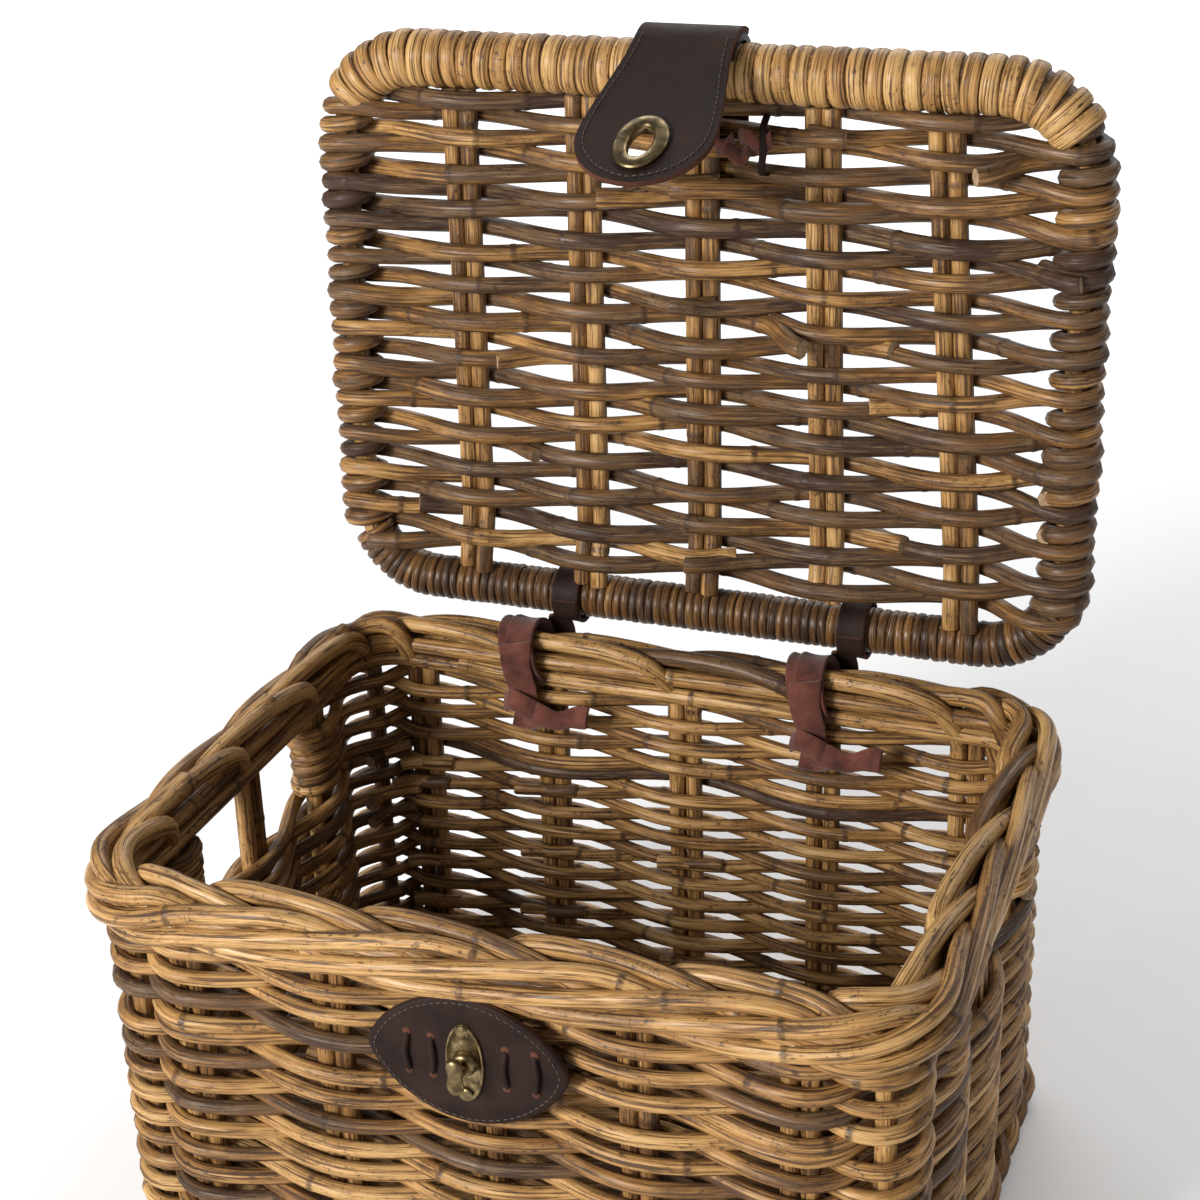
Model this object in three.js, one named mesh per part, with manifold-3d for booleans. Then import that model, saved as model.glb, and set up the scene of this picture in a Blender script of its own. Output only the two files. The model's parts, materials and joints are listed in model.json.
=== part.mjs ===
// Woven rattan laundry basket with a hinged lid, hand openings and a turn-lock strap.
// Millimetres, +Z up. The origin is the middle of the flat underside and -Y is the front.
// The lid stands open, leaning slightly back, and its strap droops over the front bar.
import * as THREE from 'three';
import { mergeVertices } from 'three/addons/utils/BufferGeometryUtils.js';
import Module from 'manifold-3d';

const wasm = await Module();
wasm.setup();

// ---- driving dimensions -------------------------------------------------------------------
const GAP = 0.3; // between pieces that touch
const ARC_STEPS = 5; // straight steps in a rounded corner
const BAND_STEPS = 12; // finer, for what is bent round a bar or the rim
const BAR = { sides: 12, steps: 30 }; // facets of a bent bar
const OVERLAP = 0.2; // solids that become one piece run into each other
const CUT = 1; // cutters stand proud of what they cut
const WELD = 1e-4; // corners closer than this are one corner
const PLACES = [-2, -1, 0, 1, 2]; // five stakes in a row, counted from the middle

// The woven wall is measured on the line that its stakes stand on.
const WALL = { halfX: 180, halfY: 134, corner: 34, thick: 22 };
const BASE_HEIGHT = 16; // border and base panel
const PANEL_HEIGHT = 14;
const OPENING_BOTTOM = 140; // hand openings, one bay each side of the middle stake
const OPENING_REACH = 58; // from the middle of the side to the bound end of the weave
const RIM = { top: 215, height: 28, width: 26, halfX: 183, halfY: 137, corner: 32, round: 12, roundSteps: 4 };

const CANE = { radius: 4.5, offset: 4.4, sides: 7 }; // one stake is two canes side by side
const CORNER_CANE = 5; // radius of the single corner stakes
const FRONT_PITCH = 69; // between stakes along the front
const BACK_PITCH = 73;
const SIDE_PITCH = 70;
const TIE = { thick: 2.5, width: 18, xs: { left: -86, right: 67 } }; // suede round the rim
const RIM_BED = 4; // room between weave and rim, where the ties pass

const LID = {
  lean: 2, // degrees back from upright
  barY: 159.2, // rear bar's middle, lid open
  barZ: 225.5,
  length: 272, // rear bar to front bar, middle to middle
  halfX: 184, // side bars
  halfWidth: 200, // outside of the turned weave
  thick: 22,
  frontRadius: 14.5,
  rearRadius: 12,
  sideRadius: 5.5,
  frontBend: 40, // corner bends, on the bars' middle line
  rearBend: 38,
  stakePitch: 61.2,
  weaveEnd: 3, // the turned weave stops this far short of the bends
  weaveGap: 0.5, // from the weave to the front bar
};
const HINGE_STRAP = { thick: 2.5, width: 14, xs: { left: -68, right: 83 } };
const REAR_CLEAR = LID.rearRadius + HINGE_STRAP.thick + 3 * GAP; // weave and stakes start here

// The latch strap turns on the front bar, in three layers: bar, sleeve, strap.
const STRAP = {
  x: -2,
  droop: 30, // degrees past square to the lid, lid open
  inner: 18.2,
  thick: 3,
  neck: 24, // half width at the bar
  belly: 32, // half width at the eyelet
  eyelet: 73.5, // from the bar's middle to the eyelet's middle
  length: 99,
  waist: 67.5, // from the bar's middle to the widest line
  neckPull: 28, // how far the neck and the belly draw the edge between them
  bellyPull: 38,
  wrapFrom: 30, // degrees round the bar that the strap is bent over
  wrapTo: 91,
};
const SLEEVE = { inner: 14.8, thick: 3.1, from: 12, to: 150 };
const EYELET = { outer: [12.5, 17], bore: [7, 11.5], flange: 1, wall: 1.2 };
const TAIL = { width: 46, length: 44, thick: 3, top: 20 };
const TAIL_LACE = { halfWidth: 2.5, halfLength: 11, corner: 2, thick: 2, beside: 38 };

const CLASP = { x: -1, z: 157.5, halfWidth: 45, halfHeight: 31.5, thick: 3 };
const PLATE = { halfWidth: 8.5, halfHeight: 20, thick: 2 };
const RIVET = { radius: 3.2, proud: 1.2, spacing: 31, shoulder: 0.7, sides: 10 };
const TOGGLE = { halfWidth: 4, halfHeight: 9, thick: 4, post: 3, stand: 7.5, sunk: 1 };
const LACE = { width: 3.2, length: 18, corner: 1.28, thick: 1.4, xs: [-26, -15, 18, 31] };

// ---- materials ----------------------------------------------------------------------------
const material = (color, roughness, metalness = 0) =>
  new THREE.MeshStandardMaterial({ color, roughness, metalness });
const RATTAN_LIGHT = () => material(0xb08a55, 0.55);
const RATTAN_MID = () => material(0x93703f, 0.6);
const RATTAN_BROWN = () => material(0x75573a, 0.6);
const LEATHER = () => material(0x33201a, 0.45);
const SUEDE = () => material(0x5e2f22, 0.9);
const BRASS = () => material(0x8a7446, 0.35, 1);

// ---- geometry helpers ---------------------------------------------------------------------
const radians = THREE.MathUtils.degToRad;

function roundedOutline(path, halfX, halfY, radius) {
  const x = halfX - radius;
  const y = halfY - radius;
  path.moveTo(halfX, -y);
  path.absarc(x, y, radius, 0, Math.PI / 2);
  path.absarc(-x, y, radius, Math.PI / 2, Math.PI);
  path.absarc(-x, -y, radius, Math.PI, Math.PI * 1.5);
  path.absarc(x, -y, radius, Math.PI * 1.5, Math.PI * 2);
  path.closePath();
  return path;
}

function ringShape(halfX, halfY, corner, width) {
  const grow = width / 2;
  const shape = roundedOutline(new THREE.Shape(), halfX + grow, halfY + grow, corner + grow);
  shape.holes.push(roundedOutline(new THREE.Path(), halfX - grow, halfY - grow, corner - grow));
  return shape;
}

function prism(shape, depth, bottom = 0, curveSegments = ARC_STEPS) {
  const options = { depth, bevelEnabled: false, curveSegments };
  return new THREE.ExtrudeGeometry(shape, options).translate(0, 0, bottom);
}

// A profile drawn as (y, z), extruded along +X.
function alongX(shape, width, x) {
  const turn = new THREE.Matrix4().makeBasis(
    new THREE.Vector3(0, 1, 0),
    new THREE.Vector3(0, 0, 1),
    new THREE.Vector3(1, 0, 0),
  );
  const band = prism(shape, width, 0, BAND_STEPS);
  return band.applyMatrix4(turn).translate(x - width / 2, 0, 0);
}

// An outline drawn as (x, z), extruded towards the front.
function towardsFront(shape, thick, y) {
  const turn = new THREE.Matrix4().makeBasis(
    new THREE.Vector3(1, 0, 0),
    new THREE.Vector3(0, 0, 1),
    new THREE.Vector3(0, -1, 0),
  );
  return prism(shape, thick).applyMatrix4(turn).translate(0, y, 0);
}

function toSolid(geometry) {
  const bare = geometry.clone();
  bare.deleteAttribute('normal');
  bare.deleteAttribute('uv');
  const merged = mergeVertices(bare, WELD);
  const mesh = new wasm.Mesh({
    numProp: 3,
    vertProperties: new Float32Array(merged.attributes.position.array),
    triVerts: new Uint32Array(merged.index.array),
  });
  return new wasm.Manifold(mesh);
}

function toGeometry(solid) {
  const mesh = solid.getMesh();
  const geometry = new THREE.BufferGeometry();
  const position = new THREE.BufferAttribute(new Float32Array(mesh.vertProperties), 3);
  geometry.setAttribute('position', position);
  geometry.setIndex(new THREE.BufferAttribute(new Uint32Array(mesh.triVerts), 1));
  return geometry;
}

function addPiece(group, name, geometry, finish) {
  const mesh = new THREE.Mesh(geometry, finish);
  mesh.name = name;
  group.add(mesh);
  return mesh;
}

// Two canes side by side: a figure of eight, one closed outline.
function canePair(x, y, alongY) {
  const shape = new THREE.Shape();
  const waist = Math.acos(CANE.offset / CANE.radius);
  const points = [];
  for (const side of [1, -1]) {
    for (let i = 0; i <= CANE.sides; i += 1) {
      const sweep = 2 * (Math.PI - waist) * (i / CANE.sides - 0.5);
      const angle = side > 0 ? sweep : sweep + Math.PI;
      const long = side * CANE.offset + CANE.radius * Math.cos(angle);
      const cross = CANE.radius * Math.sin(angle);
      const [dx, dy] = alongY ? [-cross, long] : [long, cross];
      points.push(new THREE.Vector2(x + dx, y + dy));
    }
  }
  points.pop();
  points.splice(CANE.sides, 1);
  return shape.setFromPoints(points);
}

// The channel that a pair of canes leaves in the weave.
function pairChannel(x, y, alongY) {
  const radius = CANE.radius + GAP;
  const path = new THREE.Path();
  const start = alongY ? 0 : -Math.PI / 2;
  const dx = alongY ? 0 : CANE.offset;
  const dy = alongY ? CANE.offset : 0;
  path.absarc(x + dx, y + dy, radius, start, start + Math.PI);
  path.absarc(x - dx, y - dy, radius, start + Math.PI, start + Math.PI * 2);
  path.closePath();
  return path;
}

function circlePath(path, x, y, radius) {
  path.absarc(x, y, radius, 0, Math.PI * 2);
  return path;
}

function ellipseShape(halfX, halfY, x = 0, y = 0) {
  return new THREE.Shape().absellipse(x, y, halfX, halfY, 0, Math.PI * 2);
}

// A band bent round the X axis between two angles, as a (y, z) profile.
function bandProfile(inner, outer, fromDegrees, toDegrees) {
  const shape = new THREE.Shape();
  shape.absarc(0, 0, outer, radians(fromDegrees), radians(toDegrees));
  shape.absarc(0, 0, inner, radians(toDegrees), radians(fromDegrees), true);
  shape.closePath();
  return shape;
}

// ---- where the stakes stand ---------------------------------------------------------------
const stakes = [];
PLACES.forEach((step, i) => {
  stakes.push({ name: `stake_front_${i + 1}`, x: step * FRONT_PITCH, y: -WALL.halfY });
  stakes.push({ name: `stake_back_${i + 1}`, x: step * BACK_PITCH, y: WALL.halfY });
});
for (const [side, sign] of [['left', -1], ['right', 1]]) {
  for (const [place, step] of [['front', -1], ['middle', 0], ['back', 1]]) {
    const x = sign * WALL.halfX;
    stakes.push({ name: `stake_${side}_${place}`, x, y: step * SIDE_PITCH, alongY: true });
  }
}
const cornerReach = WALL.corner * (1 - Math.SQRT1_2);
for (const [side, sx] of [['left', -1], ['right', 1]]) {
  for (const [place, sy] of [['front', -1], ['back', 1]]) {
    const x = sx * (WALL.halfX - cornerReach);
    const y = sy * (WALL.halfY - cornerReach);
    stakes.push({ name: `stake_corner_${place}_${side}`, x, y, single: true });
  }
}

function stakeChannel(stake) {
  if (stake.single) {
    return circlePath(new THREE.Path(), stake.x, stake.y, CORNER_CANE + GAP);
  }
  return pairChannel(stake.x, stake.y, stake.alongY);
}

// ---- basket -------------------------------------------------------------------------------
function buildBase(group) {
  const border = ringShape(WALL.halfX, WALL.halfY, WALL.corner, WALL.thick);
  addPiece(group, 'base_border', prism(border, BASE_HEIGHT), RATTAN_LIGHT());
  const shrink = WALL.thick / 2 + GAP;
  const panel = roundedOutline(
    new THREE.Shape(),
    WALL.halfX - shrink,
    WALL.halfY - shrink,
    WALL.corner - shrink,
  );
  addPiece(group, 'base_panel', prism(panel, PANEL_HEIGHT), RATTAN_MID());
}

function buildLowerWeave(group) {
  const shape = ringShape(WALL.halfX, WALL.halfY, WALL.corner, WALL.thick);
  for (const stake of stakes) shape.holes.push(stakeChannel(stake));
  const bottom = BASE_HEIGHT + GAP;
  const geometry = prism(shape, OPENING_BOTTOM - bottom, bottom);
  addPiece(group, 'lower_weave', geometry, RATTAN_MID());
}

// The weave above the hand openings' lower edge turns back round the side stakes.
function buildUpperWeave(group, name, sy) {
  const outer = WALL.thick / 2;
  const x = WALL.halfX - WALL.corner;
  const y = WALL.halfY - WALL.corner;
  const wide = WALL.corner + outer;
  const narrow = WALL.corner - outer;
  const shape = new THREE.Shape();
  shape.moveTo(-WALL.halfX - outer, -OPENING_REACH);
  shape.lineTo(-WALL.halfX - outer, -y);
  shape.absarc(-x, -y, wide, Math.PI, Math.PI * 1.5);
  shape.absarc(x, -y, wide, Math.PI * 1.5, Math.PI * 2);
  shape.lineTo(WALL.halfX + outer, -OPENING_REACH);
  shape.lineTo(WALL.halfX - outer, -OPENING_REACH);
  shape.absarc(x, -y, narrow, Math.PI * 2, Math.PI * 1.5, true);
  shape.absarc(-x, -y, narrow, Math.PI * 1.5, Math.PI, true);
  shape.lineTo(-WALL.halfX + outer, -OPENING_REACH);
  shape.closePath();
  for (const stake of stakes) {
    const inside = stake.y * sy > OPENING_REACH;
    if (inside) shape.holes.push(stakeChannel({ ...stake, y: -stake.y * sy }));
  }
  const bottom = OPENING_BOTTOM + GAP;
  const top = RIM.top - RIM.height - RIM_BED;
  const geometry = prism(shape, top - bottom, bottom);
  if (sy > 0) geometry.rotateZ(Math.PI);
  addPiece(group, name, geometry, RATTAN_MID());
}

function buildStakes(group) {
  const bottom = BASE_HEIGHT + GAP;
  const rimBottom = RIM.top - RIM.height;
  for (const stake of stakes) {
    const underTie = stake.name === 'stake_back_2' || stake.name === 'stake_back_4';
    const top = rimBottom - (underTie ? TIE.thick + 3 * GAP : GAP);
    const shape = stake.single
      ? circlePath(new THREE.Shape(), stake.x, stake.y, CORNER_CANE)
      : canePair(stake.x, stake.y, stake.alongY);
    addPiece(group, stake.name, prism(shape, top - bottom, bottom), RATTAN_LIGHT());
  }
}

function buildRim(group) {
  const core = ringShape(RIM.halfX, RIM.halfY, RIM.corner, RIM.width - 2 * RIM.round);
  const geometry = new THREE.ExtrudeGeometry(core, {
    depth: RIM.height - 2 * RIM.round,
    bevelThickness: RIM.round,
    bevelSize: RIM.round,
    bevelSegments: RIM.roundSteps,
    curveSegments: ARC_STEPS + 1,
  });
  geometry.translate(0, 0, RIM.top - RIM.height + RIM.round);
  addPiece(group, 'rim_border', geometry, RATTAN_LIGHT());
}

function buildRimTies(group) {
  for (const [side, x] of Object.entries(TIE.xs)) {
    const halfWidth = RIM.width / 2 + GAP;
    const halfHeight = RIM.height / 2 + GAP;
    const shape = roundedOutline(
      new THREE.Shape(),
      halfWidth + TIE.thick,
      halfHeight + TIE.thick,
      RIM.round + GAP + TIE.thick,
    );
    shape.holes.push(roundedOutline(new THREE.Path(), halfWidth, halfHeight, RIM.round + GAP));
    const geometry = alongX(shape, TIE.width, x);
    geometry.translate(0, RIM.halfY, RIM.top - RIM.height / 2);
    addPiece(group, `hinge_tie_${side}`, geometry, SUEDE());
  }
}

// ---- turn-lock on the front wall ----------------------------------------------------------
function leafShape(halfWidth, halfHeight) {
  const radius = (halfWidth ** 2 + halfHeight ** 2) / (2 * halfHeight);
  const centre = radius - halfHeight;
  const reach = Math.asin(halfWidth / radius);
  const shape = new THREE.Shape();
  shape.absarc(0, -centre, radius, Math.PI / 2 - reach, Math.PI / 2 + reach);
  shape.absarc(0, centre, radius, -Math.PI / 2 - reach, -Math.PI / 2 + reach);
  shape.closePath();
  return shape;
}

function buildClasp(group) {
  const patchY = -WALL.halfY - WALL.thick / 2 - GAP;
  const plateY = patchY - CLASP.thick - GAP;
  const faceY = plateY - PLATE.thick;
  const place = (geometry) => geometry.translate(CLASP.x, 0, CLASP.z);
  const patch = towardsFront(leafShape(CLASP.halfWidth, CLASP.halfHeight), CLASP.thick, patchY);
  addPiece(group, 'clasp_patch', place(patch), LEATHER());

  const plateShape = ellipseShape(PLATE.halfWidth, PLATE.halfHeight);
  plateShape.holes.push(circlePath(new THREE.Path(), 0, 0, TOGGLE.post + GAP));
  addPiece(group, 'clasp_plate', place(towardsFront(plateShape, PLATE.thick, plateY)), BRASS());

  for (const [name, side] of [['upper', 1], ['lower', -1]]) {
    const dome = [
      new THREE.Vector2(0, 0),
      new THREE.Vector2(RIVET.radius, 0),
      new THREE.Vector2(RIVET.radius * RIVET.shoulder, RIVET.proud * RIVET.shoulder),
      new THREE.Vector2(0, RIVET.proud),
    ];
    const rivet = new THREE.LatheGeometry(dome, RIVET.sides).rotateX(Math.PI);
    rivet.translate(0, faceY - GAP, (side * RIVET.spacing) / 2);
    addPiece(group, `clasp_rivet_${name}`, place(rivet), BRASS());
  }

  LACE.xs.forEach((x, index) => {
    const outline = new THREE.Shape();
    const shape = roundedOutline(outline, LACE.width / 2, LACE.length / 2, LACE.corner);
    const lace = towardsFront(shape, LACE.thick, patchY - CLASP.thick - GAP).translate(x, 0, 0);
    addPiece(group, `clasp_lace_${index + 1}`, place(lace), SUEDE());
  });

  const postShape = circlePath(new THREE.Shape(), 0, 0, TOGGLE.post);
  const paddleShape = ellipseShape(TOGGLE.halfWidth, TOGGLE.halfHeight);
  const postLength = TOGGLE.stand + PLATE.thick + TOGGLE.sunk;
  const post = toSolid(towardsFront(postShape, postLength, faceY + PLATE.thick - GAP));
  const paddle = toSolid(towardsFront(paddleShape, TOGGLE.thick, faceY - TOGGLE.stand));
  const toggle = toGeometry(post.add(paddle));
  addPiece(group, 'clasp_toggle', place(toggle), BRASS());
}

// ---- lid, drawn upright: x across, z up from the rear bar, +y the outer face ---------------
// The middle line of a bar with both ends bent towards the other bar.
class BentBar extends THREE.Curve {
  constructor(halfX, z, bend, towards) {
    super();
    this.halfX = halfX;
    this.z = z;
    this.bend = bend;
    this.towards = towards;
  }

  getPoint(t, target = new THREE.Vector3()) {
    const straight = 2 * (this.halfX - this.bend);
    const arc = (Math.PI / 2) * this.bend;
    const along = t * (straight + 2 * arc) - arc - straight / 2;
    const side = Math.sign(along) || 1;
    const past = Math.max(0, Math.abs(along) - straight / 2) / this.bend;
    const x = side * (Math.min(Math.abs(along), straight / 2) + this.bend * Math.sin(past));
    const drop = this.bend * (1 - Math.cos(past));
    return target.set(x, 0, this.z + this.towards * drop);
  }
}

function barGeometry(path, radius) {
  const section = new THREE.Shape();
  for (let i = 0; i < BAR.sides; i += 1) {
    const angle = ((i + 0.5) / BAR.sides) * Math.PI * 2;
    const point = [radius * Math.cos(angle), radius * Math.sin(angle)];
    if (i === 0) section.moveTo(...point);
    else section.lineTo(...point);
  }
  section.closePath();
  const options = { steps: BAR.steps, extrudePath: path, bevelEnabled: false };
  return new THREE.ExtrudeGeometry(section, options);
}

function buildLidFrame(lid) {
  const front = new BentBar(LID.halfX, LID.length, LID.frontBend, -1);
  addPiece(lid, 'lid_front_bar', barGeometry(front, LID.frontRadius), RATTAN_LIGHT());
  const rear = new BentBar(LID.halfX, 0, LID.rearBend, 1);
  addPiece(lid, 'lid_rear_bar', barGeometry(rear, LID.rearRadius), RATTAN_BROWN());
  const bottom = LID.rearBend + GAP;
  const top = LID.length - LID.frontBend - GAP;
  for (const [side, sign] of [['left', -1], ['right', 1]]) {
    const shape = circlePath(new THREE.Shape(), sign * LID.halfX, 0, LID.sideRadius);
    const bar = prism(shape, top - bottom, bottom);
    addPiece(lid, `lid_side_bar_${side}`, bar, RATTAN_BROWN());
  }
}

function lidWeaveOutline() {
  const upper = LID.length - LID.frontBend;
  const lower = LID.rearBend;
  const top = upper - LID.weaveEnd;
  const bottom = lower + LID.weaveEnd;
  const upperArc = LID.frontBend - LID.frontRadius - LID.weaveGap;
  const lowerArc = LID.rearBend - REAR_CLEAR;
  const upperX = LID.halfX - LID.frontBend;
  const lowerX = LID.halfX - LID.rearBend;
  const shape = new THREE.Shape();
  shape.moveTo(LID.halfWidth, bottom);
  shape.lineTo(LID.halfWidth, top);
  shape.lineTo(upperX + upperArc, top);
  shape.absarc(upperX, upper, upperArc, 0, Math.PI / 2);
  shape.absarc(-upperX, upper, upperArc, Math.PI / 2, Math.PI);
  shape.lineTo(-upperX - upperArc, top);
  shape.lineTo(-LID.halfWidth, top);
  shape.lineTo(-LID.halfWidth, bottom);
  shape.lineTo(-lowerX - lowerArc, bottom);
  shape.absarc(-lowerX, lower, lowerArc, Math.PI, Math.PI * 1.5);
  shape.absarc(lowerX, lower, lowerArc, Math.PI * 1.5, Math.PI * 2);
  shape.lineTo(lowerX + lowerArc, bottom);
  shape.closePath();
  return shape;
}

function buildLidWeave(lid) {
  let weave = toSolid(towardsFront(lidWeaveOutline(), LID.thick, LID.thick / 2));
  const channels = [];
  for (const step of PLACES) channels.push(pairChannel(step * LID.stakePitch, 0, false));
  for (const sign of [-1, 1]) {
    channels.push(circlePath(new THREE.Path(), sign * LID.halfX, 0, LID.sideRadius + GAP));
  }
  for (const channel of channels) {
    const shape = new THREE.Shape(channel.getPoints(ARC_STEPS));
    weave = weave.subtract(toSolid(prism(shape, LID.length, 0)));
  }
  addPiece(lid, 'lid_weave', toGeometry(weave), RATTAN_BROWN());
}

function buildLidStakes(lid) {
  const bottom = REAR_CLEAR;
  const top = LID.length - LID.frontRadius - GAP;
  PLACES.forEach((step, i) => {
    const shape = canePair(step * LID.stakePitch, 0, false);
    addPiece(lid, `lid_stake_${i + 1}`, prism(shape, top - bottom, bottom), RATTAN_LIGHT());
  });
}

function buildHingeStraps(lid) {
  const inner = LID.rearRadius + GAP;
  const outer = inner + HINGE_STRAP.thick;
  for (const [side, x] of Object.entries(HINGE_STRAP.xs)) {
    const shape = circlePath(new THREE.Shape(), 0, 0, outer);
    shape.holes.push(circlePath(new THREE.Path(), 0, 0, inner));
    addPiece(lid, `hinge_strap_${side}`, alongX(shape, HINGE_STRAP.width, x), LEATHER());
  }
}

// ---- latch strap --------------------------------------------------------------------------
function buildStrapTail(lid) {
  const face = LID.thick / 2 + GAP;
  const top = LID.length - TAIL.top;
  const tail = new THREE.BoxGeometry(TAIL.width, TAIL.thick, TAIL.length);
  tail.translate(STRAP.x, face + TAIL.thick / 2, top - TAIL.length / 2);
  addPiece(lid, 'strap_tail', tail, LEATHER());
  const { halfWidth, halfLength, corner, thick, beside } = TAIL_LACE;
  const shape = roundedOutline(new THREE.Shape(), halfWidth, halfLength, corner);
  const lace = towardsFront(shape, thick, -face);
  lace.translate(STRAP.x + beside, 0, top - TAIL.length / 2);
  addPiece(lid, 'strap_lace', lace, SUEDE());
}

function tongueShape() {
  const shape = new THREE.Shape();
  const { neck, belly, neckPull, bellyPull, waist, length } = STRAP;
  shape.moveTo(-neck, 0);
  shape.bezierCurveTo(-neck, -neckPull, -belly, -bellyPull, -belly, -waist);
  shape.absellipse(0, -waist, belly, length - waist, Math.PI, Math.PI * 2);
  shape.bezierCurveTo(belly, -bellyPull, neck, -neckPull, neck, 0);
  shape.closePath();
  return shape;
}

// Drawn lying flat on the bar's top and running towards -y, then turned down by its droop.
function buildLatchStrap(lid) {
  const bar = new THREE.Group();
  bar.position.set(STRAP.x, 0, LID.length);
  lid.add(bar);
  const sleeve = bandProfile(SLEEVE.inner, SLEEVE.inner + SLEEVE.thick, SLEEVE.from, SLEEVE.to);
  addPiece(bar, 'strap_sleeve', alongX(sleeve, 2 * STRAP.neck, 0), LEATHER());

  const strap = new THREE.Group();
  strap.rotation.x = radians(STRAP.droop);
  bar.add(strap);
  const outer = STRAP.inner + STRAP.thick;
  const wrap = bandProfile(STRAP.inner, outer, STRAP.wrapFrom, STRAP.wrapTo);
  const bend = toSolid(alongX(wrap, 2 * STRAP.neck, 0));
  const tongue = toSolid(prism(tongueShape(), STRAP.thick, STRAP.inner));
  const bore = ellipseShape(
    EYELET.bore[0] + EYELET.wall + GAP,
    EYELET.bore[1] + EYELET.wall + GAP,
    0,
    -STRAP.eyelet,
  );
  const punch = toSolid(prism(bore, STRAP.thick + 2 * CUT, STRAP.inner - CUT));
  addPiece(strap, 'latch_strap', toGeometry(bend.add(tongue).subtract(punch)), LEATHER());

  const flange = ellipseShape(EYELET.outer[0], EYELET.outer[1]);
  const barrel = ellipseShape(EYELET.bore[0] + EYELET.wall, EYELET.bore[1] + EYELET.wall);
  for (const shape of [flange, barrel]) {
    const hole = new THREE.Path();
    shape.holes.push(hole.absellipse(0, 0, EYELET.bore[0], EYELET.bore[1], 0, Math.PI * 2));
  }
  const sunk = GAP + OVERLAP;
  const body = toSolid(prism(barrel, STRAP.thick + 2 * sunk, STRAP.inner - sunk));
  const back = toSolid(prism(flange, EYELET.flange, STRAP.inner - GAP - EYELET.flange));
  const front = toSolid(prism(flange, EYELET.flange, outer + GAP));
  const ring = toGeometry(body.add(back).add(front)).translate(0, -STRAP.eyelet, 0);
  addPiece(strap, 'eyelet_ring', ring, BRASS());
}

// ---- assembly -----------------------------------------------------------------------------
const basket = new THREE.Group();
buildBase(basket);
buildLowerWeave(basket);
buildUpperWeave(basket, 'upper_weave_front', -1);
buildUpperWeave(basket, 'upper_weave_back', 1);
buildStakes(basket);
buildRim(basket);
buildRimTies(basket);
buildClasp(basket);

const lid = new THREE.Group();
lid.position.set(0, LID.barY, LID.barZ);
lid.rotation.x = radians(-LID.lean);
buildLidFrame(lid);
buildLidWeave(lid);
buildLidStakes(lid);
buildHingeStraps(lid);
buildStrapTail(lid);
buildLatchStrap(lid);
basket.add(lid);

export default basket;
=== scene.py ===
"""A lidded laundry basket of whole rattan cane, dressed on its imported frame."""

import sys
import json
import logging
import math
from collections.abc import Sequence
from dataclasses import dataclass, field
from enum import Enum

import bmesh
import bpy
import numpy as np
from mathutils import Matrix, Vector


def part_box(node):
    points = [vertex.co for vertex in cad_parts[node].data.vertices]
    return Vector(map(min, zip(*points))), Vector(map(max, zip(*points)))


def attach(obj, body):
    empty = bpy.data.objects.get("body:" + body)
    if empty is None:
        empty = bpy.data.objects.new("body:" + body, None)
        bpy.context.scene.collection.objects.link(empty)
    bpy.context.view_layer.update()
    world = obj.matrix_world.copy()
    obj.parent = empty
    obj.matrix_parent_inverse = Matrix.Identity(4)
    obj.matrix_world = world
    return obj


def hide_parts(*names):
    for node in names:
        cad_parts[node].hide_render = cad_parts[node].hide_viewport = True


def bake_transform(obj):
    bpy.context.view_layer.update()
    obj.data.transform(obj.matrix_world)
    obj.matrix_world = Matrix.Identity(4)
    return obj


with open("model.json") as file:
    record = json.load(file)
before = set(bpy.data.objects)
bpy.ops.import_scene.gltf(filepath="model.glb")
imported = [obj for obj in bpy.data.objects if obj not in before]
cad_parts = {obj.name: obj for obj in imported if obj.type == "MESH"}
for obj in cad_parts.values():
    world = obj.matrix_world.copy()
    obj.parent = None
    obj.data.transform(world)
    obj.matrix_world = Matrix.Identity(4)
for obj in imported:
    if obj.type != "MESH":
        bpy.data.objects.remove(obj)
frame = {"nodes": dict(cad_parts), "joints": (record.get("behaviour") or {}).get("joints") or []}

LOG = logging.getLogger("laundry_basket")
MM = 0.001
UP = np.array([0.0, 0.0, 1.0])
ALONG = np.array([1.0, 0.0, 0.0])
FORWARD = np.array([0.0, -1.0, 0.0])
LID_HALF = 184 * MM
EYELET_HOLE = (9.7 * MM, 14.2 * MM)
SUEDE_THICK = 2.2 * MM
LEATHER_THICK = 2.6 * MM
Colour = tuple[float, float, float]
Array = np.ndarray
Chance = np.random.Generator
Material = bpy.types.Material
Mesh = bpy.types.Mesh
Socket = bpy.types.NodeSocket
Thing = bpy.types.Object


class Shade(Enum):
    """How weathered a length of cane is, from honey to almost black."""

    HONEY = 0.24
    TAN = 0.40
    BROWN = 0.58
    DRIFTWOOD = 0.76
    PLUM = 0.95


class Side(Enum):
    """The two ends of the basket, as signs along x."""

    LEFT = -1
    RIGHT = 1


# ---- finishes -----------------------------------------------------------------------------


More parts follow.
